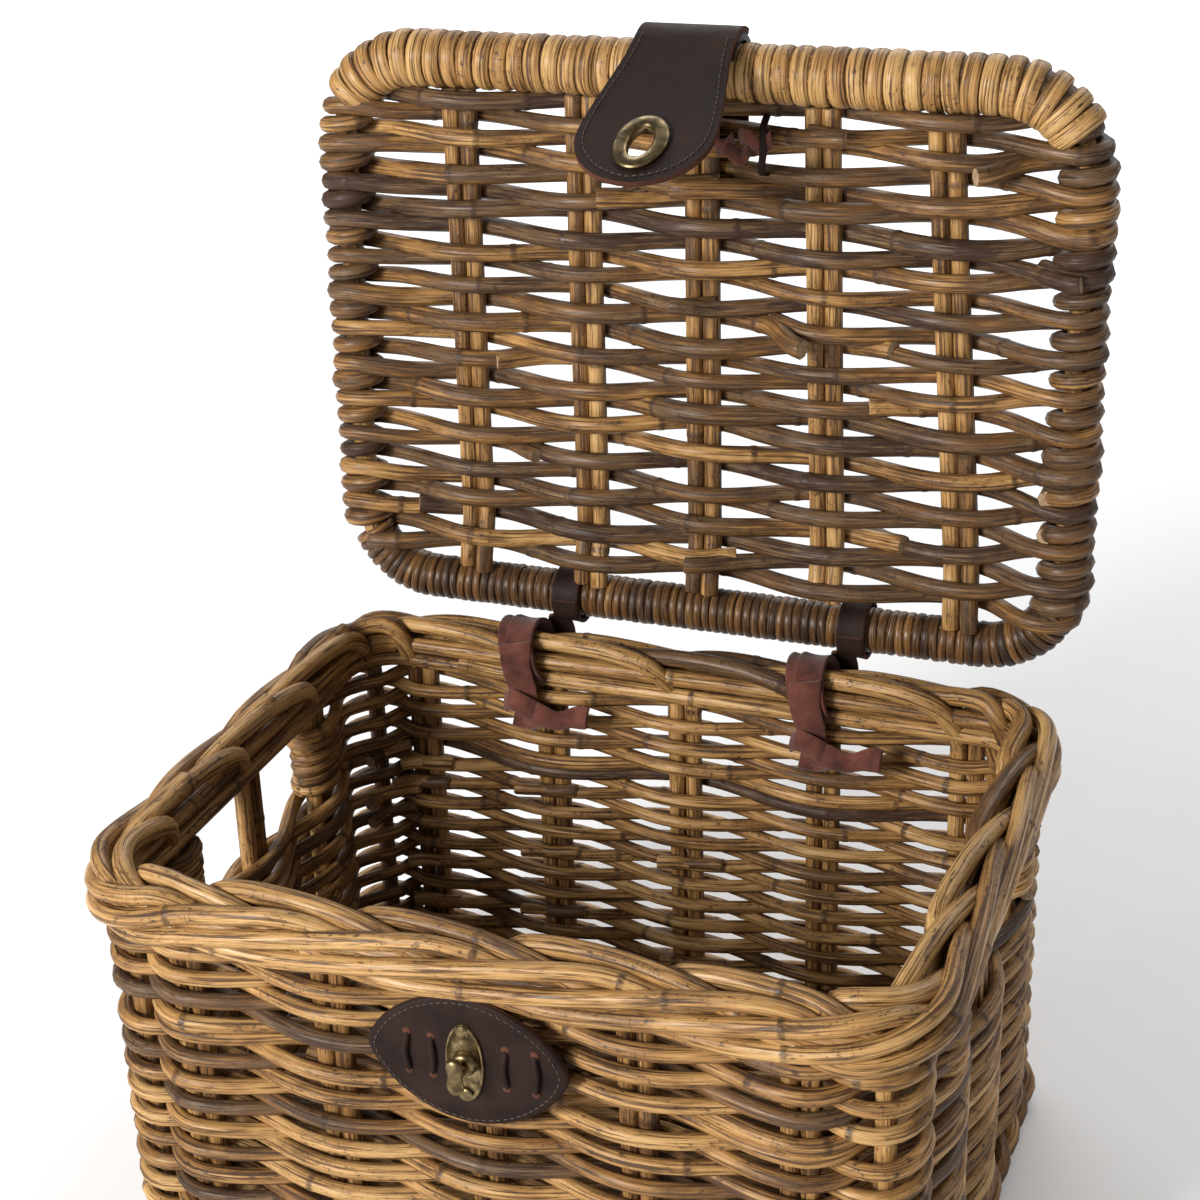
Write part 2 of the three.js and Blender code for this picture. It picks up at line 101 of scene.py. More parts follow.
class NodeBench:
    """Lays out the nodes of one material in few words."""

    def __init__(self, name: str) -> None:
        """Starts an empty material with a Principled shader on its output.

        Args:
            name: The material's name.
        """
        self.material = bpy.data.materials.new(name)
        self.material.use_nodes = True
        self.tree = self.material.node_tree
        self.tree.nodes.clear()
        self.shader = self.add("ShaderNodeBsdfPrincipled")
        output = self.add("ShaderNodeOutputMaterial")
        self.join(self.shader.outputs[0], output.inputs[0])

    def add(self, kind: str, **settings: object) -> bpy.types.Node:
        """Adds a node.

        Args:
            kind: The node's type name.
            **settings: Properties of the node to set.

        Returns:
            The new node.
        """
        node = self.tree.nodes.new(kind)
        for name, value in settings.items():
            setattr(node, name, value)
        return node

    def join(self, source: Socket, target: Socket) -> None:
        """Links two sockets."""
        self.tree.links.new(source, target)

    def shader_values(self, **values: object) -> None:
        """Sets plain values on the shader, with underscores for the spaces in socket names."""
        for name, value in values.items():
            self.shader.inputs[name.replace("_", " ")].default_value = value

    def attribute(self, name: str, output: str = "Fac") -> Socket:
        """Reads one output of a mesh attribute."""
        return self.add("ShaderNodeAttribute", attribute_name=name).outputs[output]

    def place(self) -> Socket:
        """Returns the object coordinates."""
        return self.add("ShaderNodeTexCoord").outputs["Object"]

    def noise(
        self, vector: Socket, scale: Sequence[float], detail: float = 3.0, roughness: float = 0.55
    ) -> Socket:
        """Adds a noise stretched by a scale for each axis.

        Args:
            vector: Where the noise is read.
            scale: Cycles in a metre along x, y and z.
            detail: Octaves of the noise.
            roughness: Weight of the finer octaves.

        Returns:
            The noise's value.
        """
        mapping = self.add("ShaderNodeMapping")
        mapping.inputs["Scale"].default_value = scale
        self.join(vector, mapping.inputs["Vector"])
        noise = self.add("ShaderNodeTexNoise")
        noise.inputs["Scale"].default_value = 1.0
        noise.inputs["Detail"].default_value = detail
        noise.inputs["Roughness"].default_value = roughness
        self.join(mapping.outputs[0], noise.inputs["Vector"])
        return noise.outputs[0]

    def remap(
        self, value: Socket, low: float, high: float, to_low: float = 0.0, to_high: float = 1.0
    ) -> Socket:
        """Maps a range smoothly onto another, held at both ends.

        Args:
            value: What is mapped.
            low: The value that gives to_low.
            high: The value that gives to_high.
            to_low: The result at low.
            to_high: The result at high.

        Returns:
            The mapped value.
        """
        node = self.add("ShaderNodeMapRange", interpolation_type="SMOOTHSTEP")
        self.join(value, node.inputs["Value"])
        for name, number in zip(
            ("From Min", "From Max", "To Min", "To Max"), (low, high, to_low, to_high)
        ):
            node.inputs[name].default_value = number
        return node.outputs[0]

    def maths(self, operation: str, *values: object) -> Socket:
        """Adds a Math node.

        Args:
            operation: The node's operation.
            *values: Sockets or numbers, in order.

        Returns:
            The result.
        """
        node = self.add("ShaderNodeMath", operation=operation)
        for socket, value in zip(node.inputs, values):
            if isinstance(value, Socket):
                self.join(value, socket)
            else:
                socket.default_value = value
        return node.outputs[0]

    def ramp(self, value: Socket, stops: Sequence[tuple[float, Colour]]) -> Socket:
        """Turns a value into a colour.

        Args:
            value: From 0 to 1.
            stops: Positions and colours, in order.

        Returns:
            The colour.
        """
        node = self.add("ShaderNodeValToRGB")
        elements = node.color_ramp.elements
        while len(elements) < len(stops):
            elements.new(1.0)
        for element, (position, colour) in zip(elements, stops):
            element.position = position
            element.color = (*colour, 1.0)
        self.join(value, node.inputs[0])
        return node.outputs[0]

    def blend(self, amount: Socket, first: Socket, second: Colour, mode: str = "MIX") -> Socket:
        """Mixes a colour socket with a plain colour.

        Args:
            amount: The share of the second.
            first: The colour that is there.
            second: The colour that comes over it.
            mode: The blending mode.

        Returns:
            The mixed colour.
        """
        node = self.add("ShaderNodeMix", data_type="RGBA", blend_type=mode)
        self.join(amount, node.inputs["Factor"])
        self.join(first, node.inputs[6])
        node.inputs[7].default_value = (*second, 1.0)
        return node.outputs[2]

    def bump(self, height: Socket, strength: float, distance: float) -> None:
        """Raises the surface by a height.

        Args:
            height: From 0 to 1.
            strength: How much of it shows.
            distance: The rise at 1, in metres.
        """
        node = self.add("ShaderNodeBump")
        node.inputs["Strength"].default_value = strength
        node.inputs["Distance"].default_value = distance
        self.join(height, node.inputs["Height"])
        self.join(node.outputs[0], self.shader.inputs["Normal"])


@dataclass(frozen=True)
class CaneFinish:
    """Peeled rattan: long grain, dark cracks, brown rings at the joints and a soft gloss."""

    name: str
    stops: tuple[tuple[float, Colour], ...]
    gloss: float = 0.44
    spread: float = 0.34

    def material(self) -> Material:
        """Returns the material, which reads the canes' grain, shift, tone and joint."""
        bench = NodeBench(self.name)
        joined = bench.add("ShaderNodeVectorMath", operation="ADD")
        bench.join(bench.attribute("grain", "Vector"), joined.inputs[0])
        bench.join(bench.attribute("shift", "Vector"), joined.inputs[1])
        grain = joined.outputs[0]
        streak = bench.noise(grain, (22.0, 760.0, 760.0), 4.0, 0.62)
        fibre = bench.noise(grain, (70.0, 2300.0, 2300.0), 2.0, 0.5)
        mottle = bench.noise(grain, (26.0, 80.0, 80.0), 3.0, 0.6)
        blot = bench.noise(grain, (260.0, 620.0, 620.0), 3.0, 0.65)
        rung = bench.noise(grain, (1300.0, 110.0, 110.0), 2.0, 0.5)
        half = 0.5 * self.spread
        tone = bench.maths(
            "ADD", bench.attribute("tone"), bench.remap(mottle, 0.3, 0.7, -half, half)
        )
        tone = bench.maths("ADD", tone, bench.remap(streak, 0.3, 0.7, -0.20, 0.20))
        colour = bench.ramp(tone, self.stops)
        pale = bench.remap(fibre, 0.55, 0.72, 0.0, 0.32)
        colour = bench.blend(pale, colour, (0.52, 0.36, 0.19))
        lines = bench.remap(streak, 0.53, 0.64, 0.0, 0.80)
        colour = bench.blend(lines, colour, (0.050, 0.024, 0.011))
        thread = bench.remap(fibre, 0.46, 0.36, 0.0, 0.55)
        colour = bench.blend(thread, colour, (0.070, 0.035, 0.016))
        crack = bench.maths(
            "MULTIPLY", bench.remap(rung, 0.62, 0.70, 0.0, 0.7), bench.remap(mottle, 0.50, 0.62)
        )
        colour = bench.blend(crack, colour, (0.050, 0.026, 0.014))
        dirt = bench.maths(
            "MULTIPLY", bench.remap(blot, 0.56, 0.66, 0.0, 0.85), bench.remap(mottle, 0.40, 0.56)
        )
        colour = bench.blend(dirt, colour, (0.040, 0.021, 0.012))
        joint = bench.maths(
            "MULTIPLY", bench.attribute("joint"), bench.remap(blot, 0.36, 0.62, 0.95, 0.45)
        )
        colour = bench.blend(joint, colour, (0.050, 0.026, 0.014))
        bench.join(colour, bench.shader.inputs["Base Color"])
        rough = bench.remap(mottle, 0.3, 0.7, self.gloss - 0.06, self.gloss + 0.14)
        bench.join(rough, bench.shader.inputs["Roughness"])
        height = bench.maths(
            "SUBTRACT", bench.maths("MULTIPLY", fibre, 0.35), bench.maths("MULTIPLY", lines, 0.9)
        )
        bench.bump(height, 0.6, 0.0006)
        bench.shader_values(Specular_IOR_Level=0.26, Coat_Weight=0.05, Coat_Roughness=0.25)
        return bench.material


@dataclass(frozen=True)
class PithFinish:
    """The pale cut end of a cane, with its open pores."""

    name: str = "cane_pith"

    def material(self) -> Material:
        """Returns the material."""
        bench = NodeBench(self.name)
        spot = bench.noise(bench.place(), (900.0, 900.0, 900.0), 2.0)
        wide = bench.noise(bench.place(), (130.0, 130.0, 130.0), 3.0)
        colour = bench.ramp(wide, [(0.3, (0.30, 0.19, 0.10)), (0.7, (0.52, 0.38, 0.22))])
        colour = bench.blend(bench.remap(spot, 0.52, 0.66, 0.0, 0.8), colour, (0.10, 0.055, 0.03))
        bench.join(colour, bench.shader.inputs["Base Color"])
        bench.bump(spot, 0.4, 0.0004)
        bench.shader_values(Roughness=0.85)
        return bench.material


@dataclass(frozen=True)
class LeatherFinish:
    """Smooth dark leather with fine creases, or its raw edge."""

    name: str
    dark: Colour
    light: Colour
    gloss: float = 0.5

    def material(self) -> Material:
        """Returns the material."""
        bench = NodeBench(self.name)
        wide = bench.noise(bench.place(), (55.0, 55.0, 55.0), 4.0)
        fine = bench.noise(bench.place(), (700.0, 700.0, 700.0), 3.0)
        cells = bench.add("ShaderNodeTexVoronoi", feature="DISTANCE_TO_EDGE")
        cells.inputs["Scale"].default_value = 1100.0
        bench.join(bench.place(), cells.inputs["Vector"])
        crease = bench.remap(cells.outputs[0], 0.0, 0.12)
        colour = bench.ramp(wide, [(0.32, self.dark), (0.72, self.light)])
        colour = bench.blend(bench.remap(fine, 0.60, 0.75, 0.0, 0.45), colour, self.light)
        bench.join(colour, bench.shader.inputs["Base Color"])
        bench.join(
            bench.remap(wide, 0.3, 0.7, self.gloss - 0.08, self.gloss + 0.12),
            bench.shader.inputs["Roughness"],
        )
        height = bench.maths(
            "ADD", bench.maths("MULTIPLY", crease, 0.5), bench.maths("MULTIPLY", fine, 0.6)
        )
        bench.bump(height, 0.35, 0.00022)
        bench.shader_values(Specular_IOR_Level=0.10)
        return bench.material


@dataclass(frozen=True)
class SuedeFinish:
    """Napped leather, dull and felted, with darker rubbed places."""

    name: str = "suede_nap"

    def material(self) -> Material:
        """Returns the material."""
        bench = NodeBench(self.name)
        nap = bench.noise(bench.place(), (1500.0, 1500.0, 1500.0), 3.0, 0.7)
        wide = bench.noise(bench.place(), (90.0, 90.0, 90.0), 4.0, 0.6)
        colour = bench.ramp(
            wide,
            [
                (0.3, (0.060, 0.020, 0.014)),
                (0.55, (0.135, 0.042, 0.028)),
                (0.8, (0.20, 0.072, 0.048)),
            ],
        )
        colour = bench.blend(bench.remap(nap, 0.5, 0.72, 0.0, 0.5), colour, (0.035, 0.014, 0.011))
        bench.join(colour, bench.shader.inputs["Base Color"])
        bench.bump(nap, 0.6, 0.0005)
        bench.shader_values(
            Roughness=0.95, Sheen_Weight=0.25, Sheen_Roughness=0.5, Specular_IOR_Level=0.2
        )
        return bench.material


@dataclass(frozen=True)
class BrassFinish:
    """Aged brass: dull gold where it is rubbed and brown in the hollows."""

    name: str = "aged_brass"

    def material(self) -> Material:
        """Returns the material."""
        bench = NodeBench(self.name)
        wide = bench.noise(bench.place(), (220.0, 220.0, 220.0), 5.0, 0.65)
        fine = bench.noise(bench.place(), (1600.0, 1600.0, 1600.0), 2.0)
        colour = bench.ramp(
            wide,
            [
                (0.36, (0.075, 0.052, 0.028)),
                (0.54, (0.24, 0.175, 0.085)),
                (0.72, (0.44, 0.34, 0.18)),
            ],
        )
        bench.join(colour, bench.shader.inputs["Base Color"])
        bench.join(bench.remap(wide, 0.3, 0.7, 0.48, 0.27), bench.shader.inputs["Roughness"])
        bench.bump(bench.maths("ADD", fine, wide), 0.18, 0.0003)
        bench.shader_values(Metallic=1.0)
        return bench.material


@dataclass(frozen=True)
class ThreadFinish:
    """Waxed thread with its twist showing."""

    name: str = "waxed_thread"

    def material(self) -> Material:
        """Returns the material."""
        bench = NodeBench(self.name)
        twist = bench.noise(bench.place(), (2400.0, 2400.0, 2400.0), 2.0)
        colour = bench.ramp(twist, [(0.35, (0.032, 0.022, 0.017)), (0.65, (0.085, 0.060, 0.046))])
        bench.join(colour, bench.shader.inputs["Base Color"])
        bench.bump(twist, 0.5, 0.0002)
        bench.shader_values(Roughness=0.7)
        return bench.material


class Finishes:
    """Every finish of the basket, made once."""

    def __init__(self) -> None:
        """Builds the materials."""
        straw: Colour = (0.56, 0.335, 0.130)
        honey: Colour = (0.42, 0.222, 0.071)
        tan: Colour = (0.25, 0.122, 0.037)
        brown: Colour = (0.112, 0.050, 0.017)
        drift: Colour = (0.135, 0.076, 0.036)
        plum: Colour = (0.040, 0.019, 0.012)
        stops = (
            (0.0, straw), (0.22, honey), (0.42, tan), (0.60, brown), (0.78, drift), (1.0, plum)
        )
        self.wall = CaneFinish("wall_cane", stops).material()
        self.rim = CaneFinish("rim_cane", stops, gloss=0.38, spread=0.26).material()
        self.lid = CaneFinish("lid_cane", stops, gloss=0.42, spread=0.42).material()
        self.wrap = CaneFinish("split_cane_wrap", stops, gloss=0.40, spread=0.26).material()
        dark = (
            (0.0, tan), (0.45, brown), (0.8, (0.050, 0.027, 0.014)), (1.0, (0.022, 0.013, 0.009))
        )
        self.dark_wrap = CaneFinish("dark_cane_wrap", dark, gloss=0.33, spread=0.4).material()
        self.pith = PithFinish().material()
        self.leather = LeatherFinish(
            "bridle_leather", (0.013, 0.0068, 0.0055), (0.030, 0.0155, 0.0120)
        ).material()
        self.edge = LeatherFinish(
            "raw_leather_edge", (0.045, 0.017, 0.011), (0.12, 0.048, 0.029), 0.8
        ).material()
        self.suede = SuedeFinish().material()
        self.hide = (self.leather, self.edge)
        self.nap = (self.suede, self.suede)
        self.brass = BrassFinish().material()
        self.thread = ThreadFinish().material()


# ---- cane work ----------------------------------------------------------------------------


def unit(vectors: Array) -> Array:
    """Returns the vectors scaled to length 1 along the last axis."""
    return vectors / np.maximum(np.linalg.norm(vectors, axis=-1, keepdims=True), 1e-12)


def lengths_along(path: Array) -> Array:
    """Returns the distance from the start of a path to each of its points."""
    steps = np.linalg.norm(np.diff(path, axis=0), axis=1)
    return np.concatenate([[0.0], np.cumsum(steps)])


def smoothstep(value: Array) -> Array:
    """Eases a value between 0 and 1."""
    held = np.clip(value, 0.0, 1.0)
    return held * held * (3.0 - 2.0 * held)


def wander(rng: Chance, along: Array, wavelength: float, amount: float) -> Array:
    """A slow random drift along a path.

    Args:
        rng: The source of chance.
        along: Distances along the path, from 0.
        wavelength: Distance between two turns of the drift.
        amount: The furthest it goes to either side.

    Returns:
        The drift at each distance.
    """
    place = (along - along.min()) / wavelength
    knots = rng.uniform(-amount, amount, int(place.max()) + 3)
    left = np.floor(place).astype(int)
    share = smoothstep(place - left)
    return knots[left] * (1.0 - share) + knots[left + 1] * share


def smooth_path(points: Sequence[Sequence[float]], per_span: int = 10) -> Array:
    """A Catmull-Rom path through points.

    Args:
        points: The points, of any dimension.
        per_span: Samples for each span.

    Returns:
        The samples, from the first point to the last.
    """
    p = np.array(points, float)
    p = np.vstack([2 * p[0] - p[1], p, 2 * p[-1] - p[-2]])
    t = np.linspace(0.0, 1.0, per_span, endpoint=False)[:, None]
    parts = []
    for a, b, c, d in zip(p[:-3], p[1:-2], p[2:-1], p[3:]):
        parts.append(
            0.5 * (
                2 * b + (c - a) * t + (2 * a - 5 * b + 4 * c - d) * t**2
                + (3 * b - a - 3 * c + d) * t**3
            )
        )
    parts.append(p[-2][None, :])
    return np.vstack(parts)


def path_near(middle: Array, steps: Sequence[Sequence[float]], per_span: int = 9) -> Array:
    """A smooth path through points that are given from one place.

    Args:
        middle: The place.
        steps: Each point's distance from it, in millimetres.
        per_span: Samples for each span.

    Returns:
        The samples, from the first point to the last.
    """
    return smooth_path([middle + np.array(step) * MM for step in steps], per_span)


class CaneBundle:
    """Gathers canes as round tubes and turns them into one mesh.

    Each point carries its grain (metres along and round the cane), its tone and how near a
    joint is.
    """

    def __init__(self, seed: int, sides: int = 8, step: float = 5.5 * MM) -> None:
        """Starts an empty bundle.

        Args:
            seed: Seeds the bundle's chance.
            sides: Faces round a cane.
            step: Distance between rings along it.
        """
        self.rng = np.random.default_rng(seed)
        self.sides = sides
        self.step = step
        self.count = 0
        self.points: list[Array] = []
        self.grain: list[Array] = []
        self.tone: list[Array] = []
        self.joint: list[Array] = []
        self.quads: list[Array] = []
        self.caps: list[list[int]] = []

    def lay(
        self,
        path: Array,
        radius: float,
        tone: float,
        up: Array = UP,
        taper: float = 0.0,
        joints: tuple[float, float] = (0.07, 0.20),
        flat: float = 1.0,
        drift: float = 0.10,
    ) -> None:
        """Lays one cane.

        Args:
            path: Its middle line.
            radius: Its radius at the start.
            tone: Its shade, from 0 to 1.
            up: A direction that the path never runs along.
            taper: The share of the radius lost by its far end.
            joints: The least and greatest distance between its joints.
            flat: Its thickness along up, as a share of its width.
            drift: How far the shade wanders along it.
        """
        s = lengths_along(path)
        total = s[-1]
        if total < 4 * MM:
            return
        places = [np.linspace(0.0, total, max(3, int(total / self.step) + 2))]
        rings = []
        at = self.rng.uniform(0.01, joints[1])
        while at < total - 6 * MM:
            rings.append(at)
            at += self.rng.uniform(*joints)
        for ring in rings:
            places.append(ring + np.array([-2.2, -0.8, 0.8, 2.2]) * MM)
        places.append(np.array([0.6 * MM, total - 0.6 * MM]))
        q = np.unique(np.clip(np.concatenate(places), 0.0, total))
        q = q[np.concatenate([[True], np.diff(q) > 0.25 * MM])]
        q[-1] = total
        p = np.stack([np.interp(q, s, path[:, i]) for i in range(3)], axis=1)
        t = unit(np.gradient(p, q, axis=0))
        side = unit(np.cross(t, up))
        over = np.cross(side, t)
        r = radius * (1.0 - taper * q / total) * (1.0 + wander(self.rng, q, 0.06, 0.035))
        near = np.zeros(len(q))
        for ring in rings:
            near = np.maximum(near, np.clip(1.6 - np.abs(q - ring) / (1.3 * MM), 0.0, 1.0))
        r = r * (1.0 + 0.07 * near)
        r[0] *= 0.93
        r[-1] *= 0.93
        angle = np.arange(self.sides) * 2 * np.pi / self.sides
        cos, sin = np.cos(angle)[None, :, None], np.sin(angle)[None, :, None]
        ring_points = p[:, None, :] + r[:, None, None] * (
            cos * side[:, None, :] + flat * sin * over[:, None, :]
        )
        shift = self.rng.uniform(0.0, 2.0, 3)
        grain = np.empty((len(q), self.sides, 3))
        grain[:, :, 0] = q[:, None] + shift[0]
        grain[:, :, 1] = r[:, None] * np.cos(angle)[None, :] + shift[1]
        grain[:, :, 2] = r[:, None] * np.sin(angle)[None, :] + shift[2]
        between = np.searchsorted(np.array(rings), q) if rings else np.zeros(len(q), int)
        jump = self.rng.uniform(-0.7 * drift, 0.7 * drift, len(rings) + 1)
        shade = np.clip(tone + wander(self.rng, q, 0.12, drift) + jump[between], 0.0, 1.0)
        self.points.append(ring_points.reshape(-1, 3))
        self.grain.append(grain.reshape(-1, 3))
        self.tone.append(np.repeat(shade, self.sides))
        self.joint.append(np.repeat(near, self.sides))
        index = self.count + np.arange(len(q) * self.sides).reshape(len(q), self.sides)
        a, b = index[:-1], index[1:]
        c, d = np.roll(b, -1, axis=1), np.roll(a, -1, axis=1)
        self.quads.append(np.stack([a, b, c, d], axis=2).reshape(-1, 4))
        self.caps.append(index[0].tolist())
        self.caps.append(index[-1][::-1].tolist())
        self.count += len(q) * self.sides

    def mesh(self, name: str, cane: Material, pith: Material) -> Thing:
        """Makes the bundle's object.

        Args:
            name: The object's name.
            cane: The finish of the canes.
            pith: The finish of their cut ends.

        Returns:
            The object, linked to the scene.
        """
        quads = np.vstack(self.quads)
        faces = quads.tolist() + self.caps
        data = bpy.data.meshes.new(name)
        data.from_pydata(np.vstack(self.points).tolist(), [], faces)
        for key, values, kind in (
            ("grain", self.grain, "FLOAT_VECTOR"),
            ("tone", self.tone, "FLOAT"),
            ("joint", self.joint, "FLOAT"),
        ):
            store = data.attributes.new(key, kind, "POINT")
            flat = np.concatenate(values).astype(np.float32).ravel()
            store.data.foreach_set("vector" if kind == "FLOAT_VECTOR" else "value", flat)
        is_cap = np.zeros(len(faces), bool)
        is_cap[len(quads):] = True
        data.polygons.foreach_set("use_smooth", ~is_cap)
        data.polygons.foreach_set("material_index", is_cap.astype(np.int32))
        data.materials.append(cane)
        data.materials.append(pith)
        data.update()
        return link(name, data)


def link(name: str, data: Mesh) -> Thing:
    """Puts a mesh in the scene.

    Args:
        name: The new object's name.
        data: The mesh.

    Returns:
        The new object.
    """
    made = bpy.data.objects.new(name, data)
    bpy.context.scene.collection.objects.link(made)
    return made


def settle(piece: Thing, body: str, slot: str, *nodes: str) -> Thing:
    """Hands a finished piece to its body and hides the plain parts that it stands for.

    Args:
        piece: The finished piece.
        body: The body that it rides on.
        slot: Not used.
        *nodes: The plain parts.

    Returns:
        The piece.
    """
    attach(piece, body)
    if nodes:
        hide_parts(*nodes)
    LOG.info("%s: %d faces", piece.name, len(piece.data.polygons))
    return piece


@dataclass
class Loop:
    """A rounded rectangle seen from above, walked anticlockwise from its left side's middle."""

    half_x: float
    half_y: float
    corner: float
    points: Array = field(init=False)
    arc: Array = field(init=False)

    def __post_init__(self) -> None:
        """Walks the outline once, in fine steps."""
        parts = [np.array([[-self.half_x, 0.0]])]
        corners = ((-1, -1, np.pi), (1, -1, 1.5 * np.pi), (1, 1, 0.0), (-1, 1, 0.5 * np.pi))
        for sx, sy, start in corners:
            angle = np.linspace(start, start + np.pi / 2, 24)
            x = sx * (self.half_x - self.corner) + self.corner * np.cos(angle)
            y = sy * (self.half_y - self.corner) + self.corner * np.sin(angle)
            parts.append(np.stack([x, y], axis=1))
        parts.append(parts[0])
        self.points = np.vstack(parts)
        self.arc = lengths_along(self.points)

    @property
    def length(self) -> float:
        """The distance once round."""
        return float(self.arc[-1])

    def middle(self, s: Array) -> Array:
        """Returns the points on the outline at distances s, which may go round more than once."""
        turn = np.mod(s, self.length)
        return np.stack([np.interp(turn, self.arc, self.points[:, i]) for i in range(2)], axis=-1)

    def outward(self, s: Array) -> Array:
        """Returns the unit vectors that point out of the outline at distances s."""
        ahead = unit(self.middle(s + 3 * MM) - self.middle(s - 3 * MM))
        return np.stack([ahead[..., 1], -ahead[..., 0]], axis=-1)

    def point(self, s: Array, out: Array, z: Array) -> Array:
        """Places points by distance round, distance outward and height.

        Args:
            s: Distance round the outline.
            out: Distance outward from it.
            z: Height.

        Returns:
            The points in space.
        """
        flat = self.middle(s) + self.outward(s) * np.asarray(out)[..., None]
        return np.concatenate([flat, np.broadcast_to(z, s.shape)[..., None]], axis=-1)

    def place_of(self, x: float, y: float) -> float:
        """Finds the point of the outline that is nearest to a place.

        Args:
            x: The place, along the front.
            y: The place, towards the back.

        Returns:
            How far round the point is.
        """
        s = np.linspace(0.0, self.length, 4000, endpoint=False)
        gap = np.linalg.norm(self.middle(s) - np.array([x, y]), axis=1)
        return float(s[int(np.argmin(gap))])


def over_under(along: Array, posts: Array, sign: Array, reach: Array) -> Array:
    """How far a weaver stands from the middle of the posts that it passes.

    Args:
        along: Distances along the row, between the first and last post.
        posts: Where the posts stand, in order.
        sign: The side that the weaver passes each post on.
        reach: How far it stands off at each post.

    Returns:
        The distance to the positive side at each place.
    """
    bay = np.clip(np.searchsorted(posts, along, side="right") - 1, 0, len(posts) - 2)
    share = (along - posts[bay]) / (posts[bay + 1] - posts[bay])
    weight = 0.5 + 0.5 * np.cos(np.pi * share)
    here, there = sign[bay] * reach[bay], sign[bay + 1] * reach[bay + 1]
    return here * weight + there * (1.0 - weight)


@dataclass
class ToAndFro:
    """One run of weavers between two end posts, turning back round them after every row."""

    posts: Array
    reach: Array
    end_length: float
    rows: int
    bottom: float
    pitch: float
    unrest: float
    first_side: int = 1

    def path(self, rng: Chance) -> Array:
        """Walks the whole run.

        Args:
            rng: The source of chance.

        Returns:
            Distance along, distance to the positive side and height of each sample.
        """
        parts = []
        lift = self.pitch / 4
        last = len(self.posts) - 1
        samples = int((self.posts[-1] - self.posts[0]) / (3 * MM))
        for row in range(self.rows):
            sign = np.array(
                [1 if (i + row) % 2 == 0 else -1 for i in range(last + 1)]
            ) * self.first_side
            along = np.linspace(self.posts[0], self.posts[-1], samples)
            side = over_under(along, self.posts, sign, self.reach)
            forward = row % 2 == 0
            height = self.bottom + row * self.pitch
            level = height + wander(rng, along - along[0], 0.09, self.unrest)
            first_bay = (along - self.posts[0]) / (self.posts[1] - self.posts[0])
            last_bay = (self.posts[-1] - along) / (self.posts[-1] - self.posts[-2])
            come, leave = (first_bay, last_bay) if forward else (last_bay, first_bay)
            level = height + (level - height) * smoothstep(np.minimum(come, leave) * 2.0)
            level = level + lift * (1 - smoothstep(come * 1.3)) * (row > 0) - lift * (
                1 - smoothstep(leave * 1.3)
            )
            line = np.stack([along, side, level], axis=1)
            parts.append(line if forward else line[::-1])
            if row == self.rows - 1:
                break
            end = last if forward else 0
            way = 1 if forward else -1
            turn = np.linspace(0.0, 3 * np.pi, 56)[1:-1]
            rise = height - lift + (self.pitch + 2 * lift) * turn / (3 * np.pi)
            parts.append(
                np.stack(
                    [
                        self.posts[end] + way * self.end_length * np.sin(turn),
                        sign[end] * self.reach[end] * np.cos(turn),
                        rise,
                    ],
                    axis=1,
                )
            )
        return np.vstack(parts)


def cut_to_lengths(
    run: Array, rng: Chance, shortest: float, longest: float, proud: float
) -> list[Array]:
    """Cuts one long run into canes, whose ends lie past each other and stand off the weave.

    Args:
        run: Distance along, distance to the positive side and height of each sample.
        rng: The source of chance.
        shortest: The shortest cane.
        longest: The longest cane.
        proud: How far an end stands off.

    Returns:
        One array of samples for each cane.
    """
    s = lengths_along(run)
    canes = []
    start = 0.0
    lean = 0.0
    while start < s[-1] - 0.05:
        stop = min(s[-1], start + rng.uniform(shortest, longest))
        if s[-1] - stop < 0.08:
            stop = s[-1]
        pick = (s >= start) & (s <= stop)
        part = run[pick].copy()
        if len(part) < 4:
            break
        here = s[pick]
        side = 1.0 if part[-1, 1] > 0 else -1.0
        tail = smoothstep(1 - (stop - here) / (26 * MM))
        head = smoothstep(1 - (here - start) / (26 * MM))
        if stop < s[-1]:
            part[:, 1] += side * proud * tail
        part[:, 1] += lean * head
        part[:, 2] += (2.2 * MM) * head * (1.0 if lean else 0.0)
        canes.append(part)
        lean = -side * 2.0 * MM
        start = stop - 24 * MM if stop < s[-1] else stop
    return canes


# ---- the basket ---------------------------------------------------------------------------


@dataclass
class WallShape:
    """Where the wall's stakes stand, read from the frame."""

    corner: float = 34 * MM
    floor: float = 16 * MM
    split: float = 140 * MM
    top: float = 183 * MM
    loop: Loop = field(init=False)
    posts: Array = field(init=False)
    is_corner: Array = field(init=False)

    def __post_init__(self) -> None:
        """Reads the middle of every stake and orders them round the wall."""
        middles = []
        for name in frame["nodes"]:
            if not name.startswith("stake_"):
                continue
            low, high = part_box(name)
            middle = (low + high) / 2
            middles.append((middle.x, middle.y, "corner" in name))
        half_x = max(abs(x) for x, _, corner in middles if not corner)
        half_y = max(abs(y) for _, y, corner in middles if not corner)
        self.loop = Loop(half_x, half_y, self.corner)
        placed = sorted(
            (self.loop.place_of(x, y) % (self.loop.length - MM), corner) for x, y, corner in middles
        )
        self.posts = np.array([s for s, _ in placed])
        self.is_corner = np.array([corner for _, corner in placed])

    def span(self, first: int, count: int) -> Array:
        """Returns the places of count posts from the first on, unwrapped past the start."""
        index = np.arange(first, first + count)
        return self.posts[index % len(self.posts)] + self.loop.length * (index // len(self.posts))


